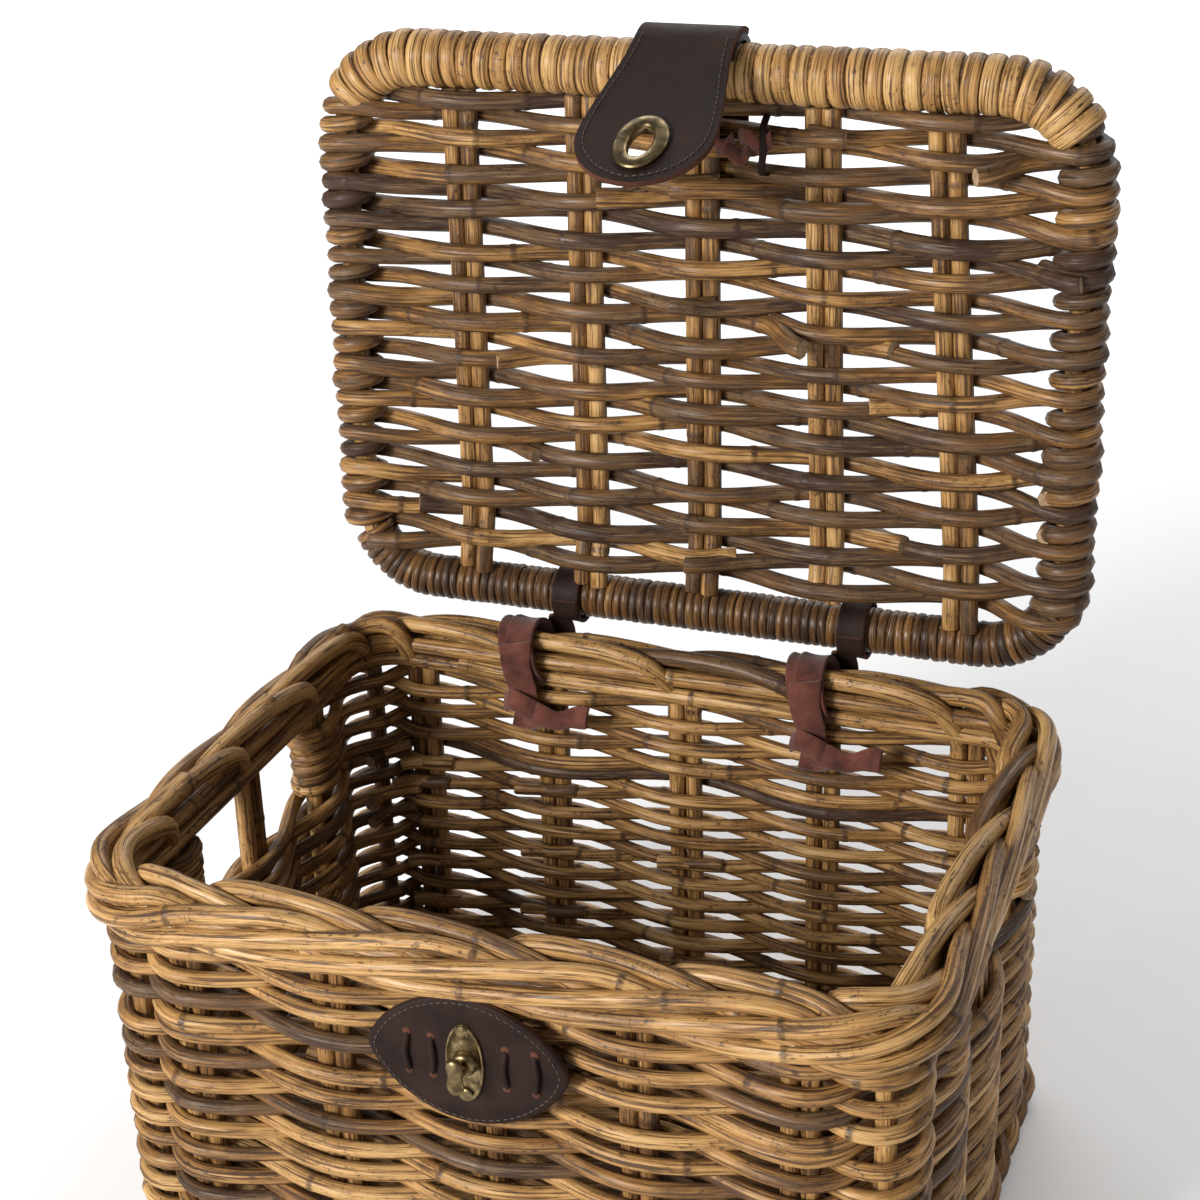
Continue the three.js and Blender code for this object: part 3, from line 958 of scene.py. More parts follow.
@dataclass
class BasketWalls:
    """The woven walls and the stakes that carry them."""

    shape: WallShape
    finishes: Finishes
    weaver: float = 3.65 * MM
    stake: float = 4.5 * MM
    pair: float = 4.4 * MM
    pitch: float = 6.15 * MM

    def tone(self, rng: Chance, z: float, front: bool) -> float:
        """Picks a cane's shade by where it lies.

        Args:
            rng: The source of chance.
            z: The cane's height.
            front: Whether it lies in the front half.

        Returns:
            The shade.
        """
        chance = rng.uniform()
        if front and 0.095 < z < 0.172 and chance < 0.40:
            return rng.choice([Shade.DRIFTWOOD.value, Shade.BROWN.value, Shade.DRIFTWOOD.value])
        if chance < 0.46:
            return Shade.HONEY.value + rng.uniform(-0.08, 0.08)
        if chance < 0.86:
            return Shade.TAN.value + rng.uniform(-0.08, 0.08)
        if chance < 0.95:
            return Shade.BROWN.value
        return Shade.PLUM.value if not front else Shade.DRIFTWOOD.value

    def lower(self) -> Thing:
        """Weaves the closed rows from the base up to the hand openings."""
        bundle = CaneBundle(11, sides=9)
        rng = bundle.rng
        loop, count = self.shape.loop, len(self.shape.posts)
        rows = int((self.shape.split - self.shape.floor) / self.pitch)
        pitch = (self.shape.split - self.shape.floor) / rows
        for row in range(rows):
            z = self.shape.floor + (row + 0.5) * pitch
            first = int(rng.integers(count))
            first += (first + row) % 2 == 0
            begin = first
            while begin < first + count:
                bays = int(rng.choice([6, 8, 10, 12, 14]))
                end = min(begin + bays, first + count)
                if first + count - end < 4:
                    end = first + count
                self.ring_cane(bundle, row, begin, end, z)
                begin = end
        made = bundle.mesh("body_weave_lower", self.finishes.wall, self.finishes.pith)
        return settle(made, "basket", "rattan_walls", "lower_weave")

    def ring_cane(self, bundle: CaneBundle, row: int, begin: int, end: int, z: float) -> None:
        """Lays one cane of a closed row, both of whose ends lie inside the basket.

        Args:
            bundle: Where it is laid.
            row: The row's number, which gives the side at each stake.
            begin: The stake that it starts behind.
            end: The stake that it ends behind.
            z: The row's height.
        """
        rng = bundle.rng
        posts = self.shape.span(begin, end - begin + 1)
        sign = np.array([1 if (i + row) % 2 == 0 else -1 for i in range(begin, end + 1)])
        stand = np.full(len(posts), self.stake + self.weaver + 0.05 * MM)
        tail = rng.uniform(14, 24) * MM
        along = np.arange(posts[0] - tail, posts[-1] + tail, 2.5 * MM)
        held = np.clip(along, posts[0], posts[-1] - 1e-6)
        out = over_under(held, posts, sign, stand)
        before, after = posts[0] - along, along - posts[-1]
        out = out - 3.2 * MM * smoothstep(after / tail) * (after > 0)
        out = out + 0.6 * MM * smoothstep(before / tail) * (before > 0)
        height = z + wander(rng, along, 0.10, 0.75 * MM)
        height = height + 2.0 * MM * smoothstep(before / tail) * (before > 0)
        path = self.shape.loop.point(along, out, height)
        front = path[len(path) // 2, 1] < 0.0
        radius = self.weaver * rng.uniform(0.92, 1.08)
        bundle.lay(path, radius, self.tone(rng, z, bool(front)), taper=rng.uniform(0.0, 0.12))

    def upper(self, name: str, node: str, first: int, count: int, seed: int) -> Thing:
        """Weaves the rows beside the hand openings, which turn back round the side stakes.

        Args:
            name: The piece's name.
            node: The plain part that it stands for.
            first: The post at the start of the run.
            count: How many posts it passes.
            seed: Seeds its chance.

        Returns:
            The piece.
        """
        bundle = CaneBundle(seed, sides=9)
        rng = bundle.rng
        posts = self.shape.span(first, count)
        rows = int(round((self.shape.top - self.shape.split) / self.pitch))
        stand = np.full(len(posts), self.stake + self.weaver + 0.05 * MM)
        pitch = (self.shape.top - self.shape.split) / rows
        run = ToAndFro(
            posts, stand, self.stake + self.pair + self.weaver * 0.9, rows,
            self.shape.split + pitch / 2, pitch, 0.7 * MM,
        ).path(rng)
        for cane in cut_to_lengths(run, rng, 0.42, 0.95, -1.2 * MM):
            path = self.shape.loop.point(cane[:, 0], cane[:, 1], cane[:, 2])
            tone = self.tone(rng, float(cane[:, 2].mean()), "front" in name)
            bundle.lay(path, self.weaver * rng.uniform(0.92, 1.06), tone)
        made = bundle.mesh(name, self.finishes.wall, self.finishes.pith)
        return settle(made, "basket", "rattan_walls", node)

    def stakes(self) -> Thing:
        """Stands the stakes: pairs along the sides and one cane at each corner."""
        bundle = CaneBundle(23, sides=10, step=9 * MM)
        rng = bundle.rng
        z = np.linspace(6 * MM, 190 * MM, 40)
        for s, corner in zip(self.shape.posts, self.shape.is_corner):
            for offset in (0.0,) if corner else (-self.pair, self.pair):
                along = s + offset + wander(rng, z, 0.07, 0.25 * MM)
                path = self.shape.loop.point(along, wander(rng, z, 0.08, 0.3 * MM), z)
                normal = self.shape.loop.outward(np.array([s]))[0]
                tone = Shade.TAN.value + rng.uniform(-0.16, 0.14)
                radius = self.stake * (1.08 if corner else 1.0) * rng.uniform(0.95, 1.0)
                bundle.lay(path, radius, tone, up=np.array([*normal, 0.0]))
        made = bundle.mesh("wall_stakes", self.finishes.wall, self.finishes.pith)
        names = sorted(n for n in frame["nodes"] if n.startswith("stake_"))
        return settle(made, "basket", "rattan_stakes", *names)

    def build(self) -> None:
        """Builds the walls."""
        self.lower()
        sides = [i for i, s in enumerate(self.shape.posts) if self.is_side(s)]
        left_front, right_front, right_back, left_back = self.ends(sides)
        total = len(self.shape.posts)
        self.upper(
            "body_weave_front", "upper_weave_front", left_front, right_front - left_front + 1, 12
        )
        back = (left_back - right_back) % total + 1
        self.upper("body_weave_back", "upper_weave_back", right_back, back, 13)
        self.stakes()

    def is_side(self, s: float) -> bool:
        """Says whether the stake at s stands in one of the two end walls, off the middle."""
        x, y = self.shape.loop.middle(np.array([s]))[0]
        return abs(abs(x) - self.shape.loop.half_x) < MM and abs(y) > 20 * MM

    def ends(self, sides: list[int]) -> tuple[int, int, int, int]:
        """Sorts the four stakes beside the hand openings.

        Args:
            sides: Their numbers, in order round the wall.

        Returns:
            The left front, right front, right back and left back stake.
        """
        found: dict[tuple[bool, bool], int] = {}
        for i in sides:
            x, y = self.shape.loop.middle(self.shape.posts[i : i + 1])[0]
            found[(x > 0, y > 0)] = i
        return found[(False, False)], found[(True, False)], found[(True, True)], found[
            (False, True)
        ]


@dataclass
class RimPlait:
    """The thick border: each cane folds over the inner edge, dives under and climbs outside."""

    walls: WallShape
    finishes: Finishes
    radius: float = 4.7 * MM
    corner: float = 32 * MM
    course: tuple[tuple[float, float, float], ...] = (
        (-0.02, -3.0, 184.0),
        (0.06, -7.2, 196.0),
        (0.15, -9.3, 203.5),
        (0.29, -8.6, 206.6),
        (0.52, -6.8, 208.5),
        (0.88, -4.2, 208.3),
        (1.20, -1.0, 205.8),
        (1.50, 2.0, 201.0),
        (1.78, 4.4, 194.6),
        (2.05, 6.0, 189.8),
        (2.45, 8.0, 187.4),
        (2.80, 8.8, 189.2),
        (3.20, 9.1, 192.8),
        (3.60, 9.0, 197.2),
        (4.00, 8.3, 201.6),
        (4.36, 7.1, 205.2),
        (4.66, 5.4, 207.0),
        (4.90, 4.0, 205.4),
        (5.10, 2.6, 201.0),
        (5.28, 1.6, 195.5),
    )
    inner: tuple[tuple[float, float], ...] = (
        (-6.6, 189.0), (-6.0, 197.6), (1.5, 188.0), (3.0, 195.5)
    )

    def build(self) -> Thing:
        """Plaits the rim, one cane from each stake."""
        low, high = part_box("rim_border")
        depth = (high.y - low.y) / 2 - 13 * MM
        loop = Loop((high.x - low.x) / 2 - 13 * MM, depth, self.corner)
        bundle = CaneBundle(31, sides=12, step=4.5 * MM)
        rng = bundle.rng
        starts = np.array(
            [loop.place_of(*self.walls.loop.middle(np.array([s]))[0]) for s in self.walls.posts]
        )
        count = len(starts)
        course = smooth_path(self.course, 9)
        for i in range(count):
            index = np.arange(i - 1, i + 8)
            knots = starts[index % count] + loop.length * (index // count)
            along = np.interp(course[:, 0], np.arange(-1, 8), knots)
            along = along + 5 * MM
            out = course[:, 1] * MM + wander(rng, along, 0.07, 0.6 * MM)
            z = course[:, 2] * MM + wander(rng, along, 0.07, 0.6 * MM)
            path = loop.point(along, out, z)
            path = self.eased(path)
            x, y = path[len(path) // 3, :2]
            self.cane(bundle, path, x, y)
        self.packing(bundle, loop)
        self.stubs(bundle, loop)
        made = bundle.mesh("rim_plait", self.finishes.rim, self.finishes.pith)
        return settle(made, "basket", "rattan_rim", "rim_border")

    def eased(self, path: Array) -> Array:
        """Eases a path's kinks over a few samples.

        Args:
            path: The path.

        Returns:
            The eased path, with as many points.
        """
        weights = np.array([1.0, 2.0, 3.0, 2.0, 1.0]) / 9.0
        padded = np.vstack([path[:1], path[:1], path, path[-1:], path[-1:]])
        return np.stack([np.convolve(padded[:, i], weights, "valid") for i in range(3)], axis=1)

    def cane(self, bundle: CaneBundle, path: Array, x: float, y: float) -> None:
        """Lays one border cane, lighter at the front than at the back.

        Args:
            bundle: Where it is laid.
            path: Its middle line.
            x: Not used.
            y: Where it lies, for its shade.
        """
        rng = bundle.rng
        tone = Shade.HONEY.value - 0.06 + rng.uniform(-0.10, 0.12) + (0.10 if y > 0.05 else 0.0)
        if rng.uniform() < 0.10:
            tone = Shade.BROWN.value + 0.08
        bundle.lay(
            path, self.radius * rng.uniform(0.95, 1.08), tone, taper=0.16, joints=(0.08, 0.20)
        )

    def packing(self, bundle: CaneBundle, loop: Loop) -> None:
        """Lays the canes that run level inside the border, under the folds.

        Args:
            bundle: Where they are laid.
            loop: The rim's middle line.
        """
        rng = bundle.rng
        for out, z in self.inner:
            at = rng.uniform(0.0, 0.3)
            stop = at + loop.length
            while at < stop - 0.05:
                run = min(rng.uniform(0.16, 0.42), stop - at)
                along = np.arange(at - 14 * MM, at + run + 8 * MM, 4 * MM)
                past = smoothstep((along - at - run + 22 * MM) / (30 * MM))
                side = out * MM + wander(rng, along, 0.09, 1.0 * MM) - 2.2 * MM * past * (out < 0)
                height = z * MM + wander(rng, along, 0.09, 1.1 * MM) + 2.5 * MM * past
                tone = float(
                    rng.choice(
                        [Shade.HONEY.value, Shade.TAN.value, Shade.TAN.value, Shade.BROWN.value]
                    )
                )
                bundle.lay(loop.point(along, side, height), 4.4 * MM * rng.uniform(0.9, 1.05), tone)
                at += run

    def stubs(self, bundle: CaneBundle, loop: Loop) -> None:
        """Adds the thick cut ends that stand up out of the left side and the corners.

        Args:
            bundle: Where they are laid.
            loop: The rim's middle line.
        """
        rng = bundle.rng
        places = ((-191.0, 62.0), (-189.0, -20.0), (-180.0, -104.0))
        for x, y in places:
            s = loop.place_of(x * MM, y * MM)
            run = rng.uniform(40, 52) * MM
            spine = smooth_path(
                [
                    (s + 0.2 * run, 6.0, 196.0),
                    (s - 0.25 * run, 3.0, 203.0),
                    (s - 0.65 * run, -1.0, 207.5),
                    (s - run, -5.0, 210.6),
                ], 8
            )
            path = loop.point(spine[:, 0], spine[:, 1] * MM, spine[:, 2] * MM)
            bundle.lay(
                path, 4.8 * MM, Shade.TAN.value + rng.uniform(-0.12, 0.05), joints=(0.05, 0.2)
            )


@dataclass
class WovenBase:
    """The flat woven floor and the roped border round its edge."""

    walls: WallShape
    finishes: Finishes
    weaver: float = 3.3 * MM
    rope: float = 4.6 * MM
    reach: float = 6.5 * MM
    corner: float = 30 * MM

    def inset(self, edge: float) -> float:
        """Finds how far a cane stops short for the round corner.

        Args:
            edge: The cane's distance from the floor's edge.

        Returns:
            The distance that it loses at its end.
        """
        past = max(0.0, self.corner - edge)
        return self.corner - math.sqrt(self.corner**2 - past**2)

    def build(self) -> None:
        """Builds the floor and its border."""
        low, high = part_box("base_panel")
        margin = Vector((self.reach, self.reach, 0.0))
        low, high = low - margin, high + margin
        bundle = CaneBundle(41, sides=7, step=8 * MM)
        rng = bundle.rng
        posts = np.linspace(low.x + 14 * MM, high.x - 14 * MM, 8)
        rows = int((high.y - low.y) / (7.4 * MM))
        for row in range(rows):
            y = low.y + (row + 0.5) * (high.y - low.y) / rows
            inset = self.inset(min(y - low.y, high.y - y))
            along = np.arange(low.x + inset, high.x - inset, 4 * MM)
            sign = np.array([1 if (i + row) % 2 == 0 else -1 for i in range(len(posts))])
            held = np.clip(along, posts[0], posts[-1] - 1e-6)
            lift = over_under(held, posts, sign, np.full(len(posts), 3.2 * MM))
            path = np.stack(
                [along, y + wander(rng, along, 0.08, 0.5 * MM), 7.4 * MM + lift], axis=1
            )
            bundle.lay(path, self.weaver, Shade.TAN.value + rng.uniform(-0.15, 0.2))
        for x in posts:
            for gap in (-3.8, 3.8):
                inset = self.inset(min(x - low.x, high.x - x))
                y = np.linspace(low.y + inset, high.y - inset, 50)
                path = np.stack(
                    [np.full_like(y, x + gap * MM), y, np.full_like(y, 7.2 * MM)], axis=1
                )
                bundle.lay(path, 3.4 * MM, Shade.TAN.value + rng.uniform(-0.1, 0.1))
        floor = bundle.mesh("base_weave", self.finishes.wall, self.finishes.pith)
        settle(floor, "basket", "rattan_walls", "base_panel")
        self.border()

    def border(self) -> None:
        """Ropes three canes round the foot of the wall."""
        bundle = CaneBundle(43, sides=9)
        loop = self.walls.loop
        for strand in range(3):
            along = np.arange(0.0, loop.length + 40 * MM, 3 * MM) + strand * 0.13
            turn = along / (66 * MM) * 2 * np.pi + strand * 2 * np.pi / 3
            out = 2.0 * MM + 6.2 * MM * np.cos(turn)
            z = 9.4 * MM + 4.3 * MM * np.sin(turn)
            bundle.lay(loop.point(along, out, z), self.rope, Shade.TAN.value + 0.12 * strand - 0.1)
        made = bundle.mesh("base_rope", self.finishes.wall, self.finishes.pith)
        settle(made, "basket", "rattan_walls", "base_border")


# ---- pieces that repeat -------------------------------------------------------------------


@dataclass
class AlongLine:
    """A node tree that sets copies of one piece along a line, each with its own shade and size."""

    name: str
    finish: Material

    def tree(self) -> bpy.types.GeometryNodeTree:
        """Builds the tree, with inputs for the piece, the spacing, the unrest and the seed."""
        tree = bpy.data.node_groups.new(self.name, "GeometryNodeTree")
        face = tree.interface
        face.new_socket("Geometry", in_out="OUTPUT", socket_type="NodeSocketGeometry")
        for label, kind, value in (
            ("Geometry", "NodeSocketGeometry", None),
            ("Piece", "NodeSocketObject", None),
            ("Spacing", "NodeSocketFloat", 4 * MM),
            ("Tilt", "NodeSocketFloat", 0.0),
            ("Smallest", "NodeSocketFloat", 0.95),
            ("Lightest", "NodeSocketFloat", 0.1),
            ("Darkest", "NodeSocketFloat", 0.4),
            ("Seed", "NodeSocketInt", 1),
        ):
            socket = face.new_socket(label, in_out="INPUT", socket_type=kind)
            if value is not None:
                socket.default_value = value
        add, join = tree.nodes.new, tree.links.new
        given, result = add("NodeGroupInput"), add("NodeGroupOutput")
        curve = add("GeometryNodeMeshToCurve")
        join(given.outputs["Geometry"], curve.inputs["Mesh"])
        even = add("GeometryNodeResampleCurve")
        even.mode = "LENGTH"
        join(curve.outputs[0], even.inputs["Curve"])
        join(given.outputs["Spacing"], even.inputs["Length"])
        tangent = add("GeometryNodeInputTangent")
        facing = add("GeometryNodeInputNamedAttribute")
        facing.data_type = "FLOAT_VECTOR"
        facing.inputs["Name"].default_value = "facing"
        first = add("FunctionNodeAlignRotationToVector")
        first.axis = "Z"
        join(facing.outputs["Attribute"], first.inputs["Vector"])
        second = add("FunctionNodeAlignRotationToVector")
        second.axis, second.pivot_axis = "X", "Z"
        join(first.outputs[0], second.inputs["Rotation"])
        join(tangent.outputs[0], second.inputs["Vector"])
        chance = self.chance(tree, given, -1.0, 1.0, 1)
        lean = add("ShaderNodeMath")
        lean.operation = "MULTIPLY"
        join(chance, lean.inputs[0])
        join(given.outputs["Tilt"], lean.inputs[1])
        angle = add("ShaderNodeCombineXYZ")
        join(lean.outputs[0], angle.inputs["Z"])
        turned = add("FunctionNodeRotateRotation")
        turned.rotation_space = "LOCAL"
        join(second.outputs[0], turned.inputs[0])
        join(angle.outputs[0], turned.inputs[1])
        piece = add("GeometryNodeObjectInfo")
        join(given.outputs["Piece"], piece.inputs[0])
        size = self.chance(tree, given, None, 1.0, 2, "Smallest")
        copies = add("GeometryNodeInstanceOnPoints")
        join(even.outputs[0], copies.inputs["Points"])
        join(piece.outputs["Geometry"], copies.inputs["Instance"])
        join(turned.outputs[0], copies.inputs["Rotation"])
        join(size, copies.inputs["Scale"])
        shade = self.chance(tree, given, None, None, 3, "Lightest", "Darkest")
        toned = self.stored(tree, copies.outputs[0], "tone", "FLOAT", shade)
        shift = add("ShaderNodeCombineXYZ")
        join(self.chance(tree, given, 0.0, 2.0, 4), shift.inputs["X"])
        join(self.chance(tree, given, 0.0, 2.0, 5), shift.inputs["Y"])
        moved = self.stored(tree, toned, "shift", "FLOAT_VECTOR", shift.outputs[0])
        real = add("GeometryNodeRealizeInstances")
        join(moved, real.inputs[0])
        dressed = add("GeometryNodeSetMaterial")
        dressed.inputs["Material"].default_value = self.finish
        join(real.outputs[0], dressed.inputs[0])
        join(dressed.outputs[0], result.inputs[0])
        return tree

    def chance(
        self,
        tree: bpy.types.GeometryNodeTree,
        given: bpy.types.Node,
        low: float | None,
        high: float | None,
        salt: int,
        low_from: str = "",
        high_from: str = "",
    ) -> Socket:
        """Adds a random number for each point.

        Args:
            tree: The tree.
            given: Its input node.
            low: The least, or None where an input gives it.
            high: The greatest, or None where an input gives it.
            salt: Keeps this number apart from the tree's others.
            low_from: The input that gives the least.
            high_from: The input that gives the greatest.

        Returns:
            The number.
        """
        node = tree.nodes.new("FunctionNodeRandomValue")
        node.data_type = "FLOAT"
        if low is not None:
            node.inputs[2].default_value = low
        if high is not None:
            node.inputs[3].default_value = high
        if low_from:
            tree.links.new(given.outputs[low_from], node.inputs[2])
        if high_from:
            tree.links.new(given.outputs[high_from], node.inputs[3])
        seed = tree.nodes.new("ShaderNodeMath")
        seed.operation = "ADD"
        tree.links.new(given.outputs["Seed"], seed.inputs[0])
        seed.inputs[1].default_value = 17.0 * salt
        tree.links.new(seed.outputs[0], node.inputs["Seed"])
        return node.outputs[1]

    def stored(
        self,
        tree: bpy.types.GeometryNodeTree,
        geometry: Socket,
        name: str,
        kind: str,
        value: Socket,
    ) -> Socket:
        """Stores a value on every copy.

        Args:
            tree: The tree.
            geometry: The copies.
            name: The attribute's name.
            kind: Its data type.
            value: The value.

        Returns:
            The copies with it.
        """
        node = tree.nodes.new("GeometryNodeStoreNamedAttribute")
        node.domain, node.data_type = "INSTANCE", kind
        node.inputs["Name"].default_value = name
        tree.links.new(geometry, node.inputs["Geometry"])
        tree.links.new(value, node.inputs["Value"])
        return node.outputs[0]

    def run(
        self,
        name: str,
        line: Array,
        facing: Array,
        piece: Thing,
        closed: bool = False,
        **inputs: object,
    ) -> Thing:
        """Sets the copies along a line and returns them as one plain mesh.

        Args:
            name: The name of the result.
            line: The points of the line.
            facing: The direction that each copy's top faces, for each point.
            piece: The piece that is repeated.
            closed: Whether the line comes back to its start.
            **inputs: The tree's other inputs, by name.

        Returns:
            The plain object.
        """
        count = len(line)
        edges = [(i, i + 1) for i in range(count - 1)] + ([(count - 1, 0)] if closed else [])
        data = bpy.data.meshes.new(name + "_line")
        data.from_pydata(line.tolist(), edges, [])
        store = data.attributes.new("facing", "FLOAT_VECTOR", "POINT")
        store.data.foreach_set("vector", np.asarray(facing, np.float32).ravel())
        holder = link(name + "_holder", data)
        modifier = holder.modifiers.new(self.name, "NODES")
        modifier.node_group = self.tree()
        sockets = {
            s.name: s.identifier
            for s in modifier.node_group.interface.items_tree if s.in_out == "INPUT"
        }
        modifier[sockets["Piece"]] = piece
        for label, value in inputs.items():
            modifier[sockets[label]] = value
        graph = bpy.context.evaluated_depsgraph_get()
        plain = bpy.data.meshes.new_from_object(holder.evaluated_get(graph), depsgraph=graph)
        plain.name = name
        holder.modifiers.remove(modifier)
        bpy.data.objects.remove(holder)
        bpy.data.objects.remove(piece)
        if not plain.materials:
            plain.materials.append(self.finish)
        return link(name, plain)


def wrap_ring(name: str, inner: float, width: float, thick: float, sides: int) -> Thing:
    """Makes one turn of split cane round a bar that runs along x.

    Args:
        name: The object's name.
        inner: The bar's radius.
        width: The split cane's width.
        thick: Its thickness.
        sides: Faces round the bar.

    Returns:
        The ring, with its grain running round.
    """
    half = width / 2
    section = [
        (-half, 0.0),
        (-0.86 * half, 0.62 * thick),
        (-0.4 * half, 0.96 * thick),
        (0.4 * half, 0.96 * thick),
        (0.86 * half, 0.62 * thick),
        (half, 0.0),
    ]
    angle = np.arange(sides) * 2 * np.pi / sides
    points, grain = [], []
    for turn in angle:
        for across, rise in section:
            r = inner + rise
            points.append((across, r * math.cos(turn), r * math.sin(turn)))
            grain.append((inner * turn, across, rise))
    n = len(section)
    faces = []
    for i in range(sides):
        for j in range(n):
            a, b = i * n + j, i * n + (j + 1) % n
            c, d = ((i + 1) % sides) * n + (j + 1) % n, ((i + 1) % sides) * n + j
            faces.append((a, d, c, b))
    data = bpy.data.meshes.new(name)
    data.from_pydata(points, [], faces)
    store = data.attributes.new("grain", "FLOAT_VECTOR", "POINT")
    store.data.foreach_set("vector", np.array(grain, np.float32).ravel())
    data.polygons.foreach_set("use_smooth", [True] * len(faces))
    outward_faces(data)
    return link(name, data)


def stitch_mark(name: str, length: float, width: float) -> Thing:
    """Makes one stitch that runs along x and dips into the leather at both ends.

    Args:
        name: The object's name.
        length: Its length.
        width: Its thickness.

    Returns:
        The stitch.
    """
    rows = (
        (-0.5, 0.35, -0.35),
        (-0.36, 0.85, 0.12),
        (0.0, 1.0, 0.34),
        (0.36, 0.85, 0.12),
        (0.5, 0.35, -0.35),
    )
    points, faces, sides = [], [], 6
    for along, girth, lift in rows:
        for j in range(sides):
            turn = j * 2 * math.pi / sides
            y = 0.5 * width * girth * math.cos(turn)
            points.append((along * length, y, lift * width + 0.5 * width * girth * math.sin(turn)))
    for i in range(len(rows) - 1):
        for j in range(sides):
            k = (j + 1) % sides
            faces.append((i * sides + j, i * sides + k, (i + 1) * sides + k, (i + 1) * sides + j))
    faces.append(tuple(range(sides)))
    faces.append(tuple((len(rows) - 1) * sides + j for j in range(sides)))
    data = bpy.data.meshes.new(name)
    data.from_pydata(points, [], faces)
    data.polygons.foreach_set("use_smooth", [True] * len(faces))
    outward_faces(data)
    return link(name, data)


def outward_faces(data: Mesh) -> None:
    """Turns every face of a closed mesh outwards.

    Args:
        data: The mesh, which is changed.
    """
    work = bmesh.new()
    work.from_mesh(data)
    bmesh.ops.remove_doubles(work, verts=work.verts, dist=1e-6)
    bmesh.ops.recalc_face_normals(work, faces=work.faces)
    work.to_mesh(data)
    work.free()


# ---- the lid ------------------------------------------------------------------------------


@dataclass
class LidPlane:
    """The open lid's own axes: along the hinge, up from its rear bar, and towards the front."""

    foot: Array = field(init=False)
    climb: Array = field(init=False)
    toward: Array = field(init=False)
    length: float = field(init=False)

    def __post_init__(self) -> None:
        """Reads the rear bar's middle and the front bar's from the frame."""
        low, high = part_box("hinge_strap_left")
        self.foot = np.array([0.0, (low.y + high.y) / 2, (low.z + high.z) / 2])
        top = next(j for j in frame["joints"] if j["name"] == "strap_follow")["pos_m"]
        run = np.array([0.0, top[1], top[2]]) - self.foot
        self.length = float(np.linalg.norm(run))
        self.climb = run / self.length
        self.toward = np.array([0.0, -self.climb[2], self.climb[1]])

    def point(self, x: Array, toward: Array, climb: Array) -> Array:
        """Places points by their distance along the hinge, to the front and up the lid.

        Args:
            x: Along the hinge.
            toward: To the front.
            climb: Up the lid from the rear bar.

        Returns:
            The points in space.
        """
        x, toward, climb = np.broadcast_arrays(x, toward, climb)
        base = self.foot + toward[..., None] * self.toward + climb[..., None] * self.climb
        base[..., 0] = x
        return base


